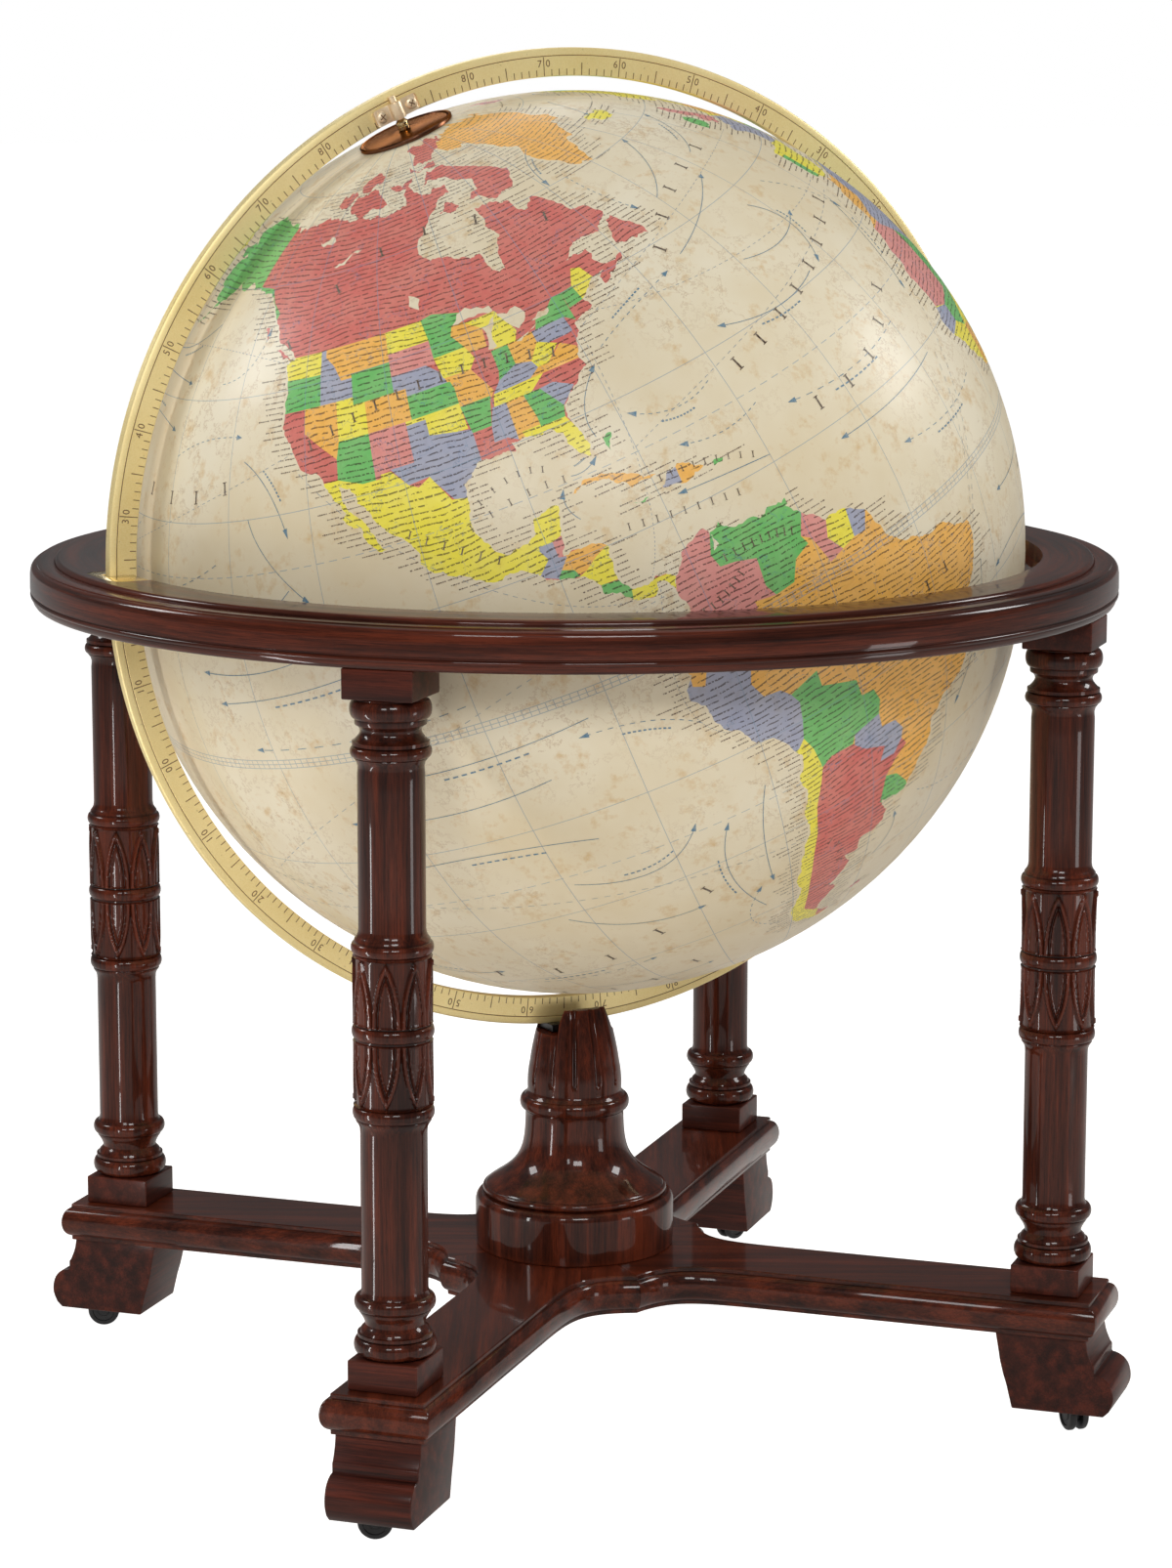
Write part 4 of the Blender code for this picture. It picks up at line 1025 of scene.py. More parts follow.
def makeScrew():
    head = [(0, -8), (2, -8), (2, 0.3), (4.9, 0.3), (5.2, 0.6), (5.2, 1.0), (4.95, 1.4), (4.2, 1.9), (2.8, 2.3)]
    head += [(0, 2.45)]
    screw = lathe("screw", head, 40)
    for size in ((3.3, 0.55), (0.55, 3.3)):
        carve(screw, blockTool((-size[0], -size[1], 0.9), (size[0], size[1], 4)))
    smoothBy(screw, 30)
    return screw


def makePoleFittings():
    bracket = makeBracket()
    screw = makeScrew()
    cross = joinUp("screwCross", [blockTool((-3.2, -0.5, 0.92), (3.2, 0.5, 1.25)),
                                  blockTool((-0.5, -3.2, 0.92), (0.5, 3.2, 1.25))])
    middle = (poleSet["low"] + poleSet["high"]) / 2
    dial = poleSet["dial"]
    under = [(radius, math.sqrt(poleSet["ball"] ** 2 - radius ** 2)) for radius in (3.2, 12, 22, 32, dial - 0.4)]
    profile = under + [(dial, 404.9), (dial, 406.9)] + curve((dial - 1.5, 407.0), (1.5, 1.25), 0, 90, 6)[1:]
    profile += [(dial - 2.6, 408.15), (dial - 3.4, 407.75), (dial - 3.7, 407.3), (dial - 4.2, 407.15)]
    profile += [(dial - 4.6, 407.3), (dial - 5.2, 407.35), (33, 407.65), (26, 408.05), (18, 408.4), (12.5, 408.6)]
    profile += [(12.0, 408.68), (9, 408.7), (3.2, 408.7)]
    plate = lathe("dial", profile, 128, closed=True)
    smoothBy(plate, 28)
    pin = lathe("pin", [(0, 386), (3, 386), (3, 409), (4.9, 409), (5.5, 409.5), (5.5, 412.2), (5.1, 412.6),
                        (5.1, 413.2), (5.5, 413.6), (5.5, 415.9), (4.9, 416.6), (3.3, 418.6), (3, 418.7),
                        (3, 434.6), (2.3, 435.2), (1.5, 435.4), (0, 435.4)], 48)
    smoothBy(pin, 30)
    for side, sign in (("north", 1), ("south", -1)):
        turn = poleTurn(sign)
        finish(copyOf(bracket, "bracket-" + side, turn), paleBrass, "meridian", "brass", "pole_bracket_" + side)
        finish(copyOf(pin, "pin-" + side, turn), polishedBrass, "meridian", "brass", "pole_pin_" + side)
        finish(copyOf(plate, "dial-" + side, turn), copper, "globe", "bronze", "pole_dial_" + side)
        for word, shift, twist in (("a", -poleSet["screwAt"], 24), ("b", poleSet["screwAt"], 51)):
            spot = Matrix.Translation((shift * mm, poleSet["front"] * mm, middle * mm))
            spin = Matrix.Rotation(math.radians(90), 4, "X") @ Matrix.Rotation(math.radians(twist), 4, "Z")
            item = copyOf(screw, f"screw-{side}-{word}", turn @ spot @ spin)
            finish(item, paleBrass, "meridian", "brass", f"bracket_screw_{side}_{word}")
            finish(copyOf(cross, f"cross-{side}-{word}", turn @ spot @ spin), engraving, "meridian", "brass")
    for item in (bracket, screw, cross, plate, pin):
        bpy.data.objects.remove(item)


makePoleFittings()
print("pole fittings made")


# casters
casterSet = {"along": 472.0, "trail": 11.0, "radius": 15.0, "outer": 9.0, "inner": 2.5,
             "headings": {"front_left": 154, "front_right": 262, "back_right": 20, "back_left": 154}}


def makeWheels():
    radius, outer, inner = casterSet["radius"], casterSet["outer"], casterSet["inner"]
    half = [(2.9, 0), (2.9, inner), (radius - 1.6, inner), (radius - 0.6, inner + 0.4), (radius, inner + 1.4)]
    half += [(radius, outer - 2.2), (radius - 0.5, outer - 1.0), (radius - 1.6, outer - 0.2), (radius - 2.8, outer)]
    half += [(radius - 4.2, outer - 0.1), (radius - 4.8, outer - 1.0), (6.0, outer - 1.2), (5.2, outer - 0.3)]
    half += [(0, outer - 0.1)]
    profile = [(r, -z) for r, z in reversed(half)] + half[1:]
    wheels = lathe("wheels", profile, 72)
    place(wheels, Matrix.Rotation(math.radians(90), 4, "X"))
    smoothBy(wheels, 30)
    return wheels


wheels = makeWheels()
for leg, degrees in legNames.items():
    spot = Matrix.Rotation(math.radians(degrees), 4, "Z") @ Vector((casterSet["along"] * mm, 0, 0))
    turn = Matrix.Translation(spot) @ Matrix.Rotation(math.radians(casterSet["headings"][leg]), 4, "Z")
    turn = turn @ Matrix.Translation((casterSet["trail"] * mm, 0, casterSet["radius"] * mm))
    pair = copyOf(wheels, "wheels-" + leg, turn)
    finish(pair, blackPlastic, "wheels_" + leg, "black_plastic", "caster_wheels_" + leg)
bpy.data.objects.remove(wheels)

# what stays as the frame made it
# the cradle pad takes the black nylon so that its black stands in for the shadow under the ring: painted shade
kept = {"hub_plate": steel, "pedestal_bolt": steel, "cradle_pad": blackPlastic, "pole_bush_north": steel,
        "pole_bush_south": steel, "equator_hoop": blackPlastic}
kept.update({"caster_body_" + leg: blackPlastic for leg in legNames})
for node, material in kept.items():
    coat(frame["nodes"][node], material)
print("casters and kept pieces finished")


# the ball's map
def ink(red, green, blue):
    return [((value / 255 + 0.055) / 1.055) ** 2.4 for value in (red, green, blue)]


inks = {"rose": ink(216, 94, 88), "pink": ink(228, 138, 134), "green": ink(86, 190, 88), "yellow": ink(250, 236, 44),
        "orange": ink(252, 184, 62), "blue": ink(158, 164, 190), "ice": ink(238, 232, 215)}

# colour that shows where no country covers it, then the coast as degrees east and north
lands = {
    "northAmerica": ("rose", """-168 65.6, -164 66.6, -161.5 66.4, -163 67.2, -166.5 68.3, -163 69.5,
        -156.5 71.3, -150 70.5, -141 69.6, -135 69, -128 70, -124.5 69.8, -120 69.5, -115 68.5, -109 68,
        -105 68, -99 67.8, -95.5 68, -96 70.5, -94 72, -92 70, -90 69, -87 68.5, -85.5 69.6, -81.5 69.2,
        -81.5 67.3, -86 66.5, -87 65.5, -90 64, -94 61, -94.7 58.8, -92.5 57, -88 56.4, -85 55.3, -82.3 55.1,
        -82 53, -80.5 51.3, -79.3 51.5, -79 54, -76.6 56.5, -78.3 58.8, -77.5 60.5, -78 62.4, -73.7 62.4,
        -69.7 61, -69.5 59, -67.5 58.5, -65 60, -62 57.8, -60.5 55, -57.5 54.5, -56 52.5, -58.5 51.3, -60 50.2,
        -66.5 50.2, -69 48.7, -67 49, -64.7 49, -64.3 48, -65 47.3, -64 46, -61.5 45.8, -60 46.2, -61 45.3,
        -64 44.5, -66 43.5, -66 44.6, -64.5 45.4, -67 45, -69 44, -70.7 43, -70 41.8, -71.5 41.4, -74 40.6,
        -74 39.5, -75.2 38.5, -76 37, -75.6 35.3, -77.5 34.3, -79 33.3, -81 32, -81.3 30.5, -80.5 28.3,
        -80.1 26.5, -80.6 25.2, -81.7 26, -82.7 27.8, -82.7 29, -84 30, -85.3 29.7, -87.5 30.3, -89.5 30.3,
        -89.3 29.1, -91.5 29.4, -94 29.6, -95.3 28.9, -97.2 27.6, -97.3 26, -97.8 24, -97.8 22.3, -97 20.5,
        -96 19, -94.5 18.2, -92 18.6, -90.7 19.4, -90.4 21, -88 21.6, -86.9 21.4, -87.5 19.5, -88 18.3,
        -88.6 15.8, -86 15.9, -83.2 15, -83.6 12.5, -83.7 11, -82.2 9.2, -80 9.2, -79.5 9.6, -77.3 8.6,
        -77.9 7.3, -78.5 8.5, -79.6 8.9, -80.3 7.5, -81.7 7.7, -83 8.3, -84 9.5, -85.8 10, -85.8 11.1,
        -87.5 12.9, -89.5 13.4, -91.5 14, -94 16.1, -96.5 15.7, -99.5 16.7, -102 17.9, -104.5 19.2, -105.6 20.4,
        -105.3 21.5, -106.5 23.3, -109.2 25.6, -110.7 27.7, -112.3 29.2, -113.1 31.2, -114.8 31.7, -114.6 30.2,
        -112.5 27.5, -111.2 25.5, -109.5 23.1, -110.2 23, -112 24.7, -112.3 26.2, -115 27.9, -114.2 28.4,
        -115.8 30.3, -117.1 32.5, -118.5 34, -120.6 34.6, -122 36.8, -123.8 39.3, -124.3 40.4, -124.1 43.5,
        -124 46.2, -124.7 48.4, -122.8 49, -125 50.5, -127.5 51.5, -130 54.5, -131.5 56, -134 58.3, -138 59,
        -141 60, -146 60.8, -149.5 59.8, -152 60.9, -151 61.2, -154 59.3, -158 57.5, -162 55.2, -164.5 54.6,
        -161 56, -158 58.5, -162 58.7, -162 60, -165 61, -165.5 62.5, -161 64.5, -166 64.5"""),
    "southAmerica": ("orange", """-77.3 8.6, -75.6 10.8, -74.8 11.1, -72 12.2, -71.3 11, -71.9 9.3, -71 9.8,
        -71.5 11.4, -70 12.1, -68.2 10.6, -65 10.1, -62 10.7, -61 9.6, -60 8.5, -57.3 6, -54 5.8, -52 4.7,
        -50.5 2, -50 0.5, -48.5 -1, -44.5 -2.8, -41 -2.9, -37 -4.8, -35.3 -5.2, -34.8 -7.5, -36 -10.3,
        -38.5 -13, -39 -16, -39.7 -19.5, -41 -22, -43 -23, -46 -24, -48.5 -26, -48.7 -28.5, -50.3 -30.5,
        -52.5 -33.2, -54 -34.8, -57 -34.4, -58.4 -34, -57 -36.3, -57.6 -38.2, -62 -38.9, -62.3 -41, -65 -41,
        -63.7 -42.7, -65.3 -44.7, -67.5 -46.3, -65.8 -47.9, -68.5 -50.3, -69 -52.3, -68.3 -53, -65.2 -54.7,
        -67 -55.5, -71 -54.5, -74.5 -52.5, -75.5 -49, -74.5 -46.8, -73.5 -44, -74 -42, -73.5 -39.5, -73.2 -37,
        -71.6 -33, -71.4 -30, -70.5 -25, -70.2 -19.5, -71.5 -17.3, -76 -14.2, -77.2 -12, -79.8 -7.2, -81.2 -6,
        -81.2 -4.5, -80 -3, -80.9 -2.2, -80 0, -78.8 1.5, -77.3 3.8, -77.4 5.5, -77.9 7.3"""),
    "greenland": ("orange", """-73 78.2, -68 76, -60 76, -56 73.5, -54.5 71, -51 69.7, -53.5 67.5, -52 64.5,
        -48.5 61, -44 60, -42.5 62.5, -40 65, -33 67.8, -25 69.5, -22 71, -24 73, -20 75, -18.5 77.5, -20 80,
        -12 81.5, -25 83, -35 83.6, -50 82.5, -60 82, -66 80.5"""),
    "iceland": ("yellow", "-24 65.5, -22 66.4, -18 66, -15 66.3, -13.7 65, -16 64, -19 63.4, -22.7 63.9, -22 64.8"),
    "baffin": ("rose", """-89 70.5, -85 73.8, -80 73.7, -76 72.8, -71 71, -67.5 69.5, -62 66.8, -64 65, -67 63,
        -71 62.5, -77.5 64.3, -74 65.5, -73 68, -79 70"""),
    "victoria": ("rose", "-117 73, -112 73, -107 73.5, -101.5 69.2, -105 69, -113 68.6, -117 70, -118.5 71.5"),
    "ellesmere": ("rose", "-90 76.5, -80 76.2, -78 77.5, -70 80, -62 82.3, -70 83.1, -85 82.3, -92 81, -87 79"),
    "banks": ("rose", "-125 72, -120 71.5, -117 73.5, -121 74.5, -125 74"),
    "devon": ("rose", "-92 76.4, -80 75.7, -80 74.6, -92 74.8"),
    "southampton": ("rose", "-87 64, -81 64, -84 65.8"),
    "newfoundland": ("rose", "-59.3 47.6, -55.5 46.8, -53 46.7, -53 48.2, -55.7 51.5, -57 51.2, -58.5 49"),
    "melville": ("rose", "-117 75.2, -106 75, -105 76.3, -115 76.5"),
    "somerset": ("rose", "-102 73.5, -91 73.9, -92 72.7, -97 71.5"),
    "haida": ("rose", "-133 54.1, -131.8 54, -131.2 52.2"),
    "vancouver": ("rose", "-128 50.7, -125 49.6, -123.6 48.4, -126 49.2"),
    "cuba": ("orange", "-84.9 21.9, -83 23, -80.5 23, -77 21.5, -74.2 20.2, -77.7 19.9, -78 20.7, -82 22.4"),
    "jamaica": ("green", "-78.3 18.3, -76.3 18.2, -77 17.8"),
    "hispaniola": ("orange", "-74.4 18.5, -72.8 19.9, -69.9 19.7, -68.4 18.6, -71 17.8, -72.5 18.2"),
    "puertoRico": ("green", "-67.2 18.5, -65.7 18.4, -66 18, -67.2 18"),
    "bahamas": ("green", "-78 24.8, -77 26.8, -78.3 26.6"),
    "trinidad": ("green", "-61.8 10.1, -61 10.8, -61 10"),
    "falklands": ("pink", "-61 -51.5, -58 -51.3, -58.3 -52, -60.5 -52.2"),
    "hawaii": ("green", "-156 20, -155 19.8, -155.6 19"),
    "africa": ("yellow", """-6 35.8, -2 35.2, 3 36.9, 10 37.3, 11 35.5, 10.2 34, 12.5 32.8, 15.5 32.2,
        19.5 30.4, 20.5 32.5, 25 31.7, 29 30.9, 32.3 31.2, 34.2 31.3, 32.6 29.9, 34 27, 35.7 24, 37.2 21,
        38.6 18, 41 15, 43.2 12.4, 43 11.5, 44.5 10.5, 51.2 11.8, 49 7, 46 3, 42.5 -1, 39.5 -4.5, 39 -7,
        40.5 -10.5, 40.7 -15, 37 -17.8, 35 -20, 35.5 -23.5, 33 -25.5, 32.5 -28.5, 30 -31.5, 27 -33.7, 22 -34.2,
        18.4 -34.2, 18 -32, 16.5 -28.6, 14.5 -23, 11.8 -17.5, 13.5 -12, 12.3 -6.5, 9 -1.5, 9.5 3, 8.8 4.6,
        6 4.3, 4.3 6.4, 1.2 6, -2 4.8, -7.5 4.4, -11 6.7, -13.2 8.8, -15 11, -17 13, -17.4 14.8, -16.2 16.5,
        -16.3 20, -17 21, -15 25, -13 27.8, -10 29.7, -9.8 31.5, -7 33.7"""),
    "eurasia": ("yellow", """-9.4 38.8, -9 43.2, -1.8 43.4, -1.2 46, -4.7 48.4, -1.5 48.7, -1.6 49.7, 1.5 50.5,
        4 52, 7 53.6, 8.5 55, 8.2 57, 10.6 57.6, 10.5 55.5, 11 54, 14 54, 18.7 54.7, 21 55, 21.3 57.2, 23.5 59,
        28 59.7, 29.5 60.2, 23 60, 21.3 61.5, 25.3 65, 22 65.7, 17.2 61.5, 18.8 60, 16.4 57, 14.2 55.4,
        12.8 55.6, 11 59, 7 58, 5 60, 5.2 62, 10 64, 14 67.5, 19 70, 26 71, 31 70.3, 41 67.5, 40 66.3, 34 66.6,
        35 64.3, 38 64, 40 65, 43.5 66, 44 68.3, 54 68.5, 60 69, 68 68.8, 67 72, 72.5 72.8, 74 68.5, 80 72,
        87 75, 98 76, 104 77.7, 113 74, 120 73, 127 73, 131 71, 140 72.5, 152 71, 160 69.7, 170 69.5, 178 69.2,
        180 68.8, 180 65, 177.5 64.7, 179 62.5, 172 60.5, 165 60, 163 58, 162 56, 157 51, 156 55, 157 58,
        163 61.8, 155 59.3, 143 59.3, 135.5 54.7, 141 52.5, 140.3 48.5, 135 43.3, 131 42.7, 127.5 39.7,
        129.4 37, 129 35.2, 126.4 34.5, 126.5 37.5, 124.5 39.9, 121.5 39, 121.5 40.8, 118 39, 119 37.2,
        122.5 37.2, 119.5 35, 121.8 31.5, 121.5 28.5, 119 25.5, 116 22.8, 110.3 21.2, 107.5 21.3, 105.8 19,
        109 13, 109 11.5, 105 8.7, 105 10.3, 102.5 12, 100.8 13.4, 99.3 9.3, 103.4 4, 104.2 1.4, 101 3, 98.3 8,
        98.5 12, 97.5 16.5, 94.3 16, 92 21.3, 90.5 22.5, 87 21.3, 82.3 16.6, 80.2 15, 79.9 10.5, 77.5 8, 76 11,
        73 17, 72.6 21, 70.5 20.8, 68 23.7, 66.7 25.2, 61.5 25.1, 57 26.8, 51.5 27.8, 50 30.2, 48 29.8, 50 26.7,
        51.5 25.5, 54 24.2, 56.3 26.2, 56.8 24, 59.8 22.5, 57.7 19, 55 17, 52 15.6, 45 12.8, 43.3 12.7,
        42.7 16.5, 39 21.5, 37 25, 35 28, 34.3 31.3, 35.8 36, 36 36.8, 32.5 36.1, 30.6 36.8, 27.4 37, 26.3 39.5,
        29 41, 35 42, 41.5 41.5, 37.5 45, 39 47.2, 35 46.3, 33.5 44.5, 32.5 46.2, 30.5 46.3, 28.5 43.8, 28 42,
        29 41.2, 26.5 40.5, 23.5 40.5, 24 38, 22.8 36.5, 21 38.3, 19.5 41, 19 42, 15.5 43.8, 13.7 45.5,
        12.3 45.2, 13.6 43.5, 16 41.8, 18.4 40, 17 40.5, 16 38, 15.7 40, 12.3 41.7, 10.3 43.6, 7.5 43.8, 3.2 43,
        3 41.8, 0 40, -0.5 38, -2 36.8, -5.6 36, -8.8 37"""),
    "farEast": ("yellow", "-180 68.8, -175 67.3, -170 66, -173 64.5, -178 65.3, -180 65"),
    "britain": ("pink", """-5.5 50.1, 1.3 51.2, 0.3 53, -2 55.8, -2 57.6, -4 58.6, -5.5 57, -4.8 54.7, -3 53.7,
        -4.5 53, -5 51.7, -3 51.4"""),
    "ireland": ("green", "-10 51.7, -6.3 52.2, -6 54, -7.5 55.3, -10 54"),
    "svalbard": ("pink", "12 78.2, 17 76.7, 21 78.2, 27 80.2, 14 79.8"),
    "novaya": ("yellow", "52 71, 58 74, 68 76.8, 60 75, 55 71"),
    "sardinia": ("green", "8.3 39, 9.6 39.2, 9.4 42.6, 8.6 42.2"),
    "sicily": ("green", "12.5 37.8, 15.5 38.2, 15 36.7"),
    "madagascar": ("orange", "49.3 -12, 50.3 -15.5, 47 -25, 44 -24.5, 43.5 -21.5, 44.5 -16.3"),
    "sriLanka": ("pink", "80 9.6, 81.8 7.5, 80.5 6, 79.8 7.8"),
    "sumatra": ("green", "95.3 5.6, 98 4, 103 0.5, 106 -3, 105.8 -5.8, 102 -4, 98.7 1"),
    "java": ("green", "105.3 -6.5, 108.7 -6.8, 112.7 -7, 114.5 -8.5, 106.5 -7.4"),
    "borneo": ("green", "109 1.5, 111 1.5, 113 3, 117 7, 119 5, 118 1, 116 -4, 110 -3"),
    "sulawesi": ("green", """119 -3, 120 0.8, 125 1.5, 121 0.4, 121 -1, 123 -0.9, 121.5 -2, 123 -5, 120.5 -3,
        120.3 -5.6, 119.5 -5.5"""),
    "newGuinea": ("green", "131 -0.8, 134 -0.8, 138 -1.6, 145 -4.5, 150.5 -10.5, 144 -7.8, 138 -8.2, 133 -4"),
    "luzon": ("rose", "120.3 16, 120.8 18.5, 122.2 18.4, 121.6 15.5, 124 12.7, 120.6 13.8"),
    "mindanao": ("rose", "122 7, 123.5 8.6, 125.5 9.7, 126.4 7, 125.4 5.7"),
    "taiwan": ("orange", "120.2 23, 121.6 25.2, 121 22.2"),
    "honshu": ("pink", "131 34, 136 35.8, 140 40.8, 141.9 39.5, 140.8 35.7, 137 34.6, 133 34.3, 131.5 31.3, 130 33"),
    "hokkaido": ("pink", "140 42, 141.7 45.4, 145.4 43.4, 143.2 42"),
    "sakhalin": ("yellow", "142 46, 143.5 49, 143 54, 142 53"),
    "australia": ("orange", """113.7 -22.5, 114 -26, 115.7 -31.7, 115 -34.2, 118 -35, 124 -33, 131 -31.5,
        135.5 -34.7, 138 -35.5, 140.5 -38, 144 -38.5, 146.5 -39, 150 -37.3, 153 -32, 153.2 -27, 149 -20.5,
        146 -18.5, 145.3 -15, 142.5 -10.8, 141 -16.5, 139 -17.5, 135.5 -15, 136.7 -12.3, 132.5 -11.3, 130 -14,
        126 -14.2, 122 -18, 117 -20.6"""),
    "tasmania": ("pink", "144.7 -40.8, 148.3 -41, 147 -43.6"),
    "northIsland": ("yellow", "173 -34.5, 175.5 -36.5, 178.5 -37.8, 176.8 -40, 175 -41.5, 173.8 -39.3, 174.7 -37"),
    "southIsland": ("yellow", "172.7 -40.6, 174.2 -41.6, 171 -44.5, 169 -46.6, 166.5 -45.9, 170 -43"),
    "antarctica": ("ice", """-180 -78, -160 -78, -145 -75.5, -120 -74, -100 -73.5, -75 -73, -65 -66, -57 -63.5,
        -62 -70, -62 -76, -35 -78, -15 -72, 10 -70, 40 -69, 55 -66.5, 80 -68, 100 -66, 130 -66.3, 150 -68.5,
        170 -72, 165 -78, 180 -78, 180 -90, -180 -90"""),
}

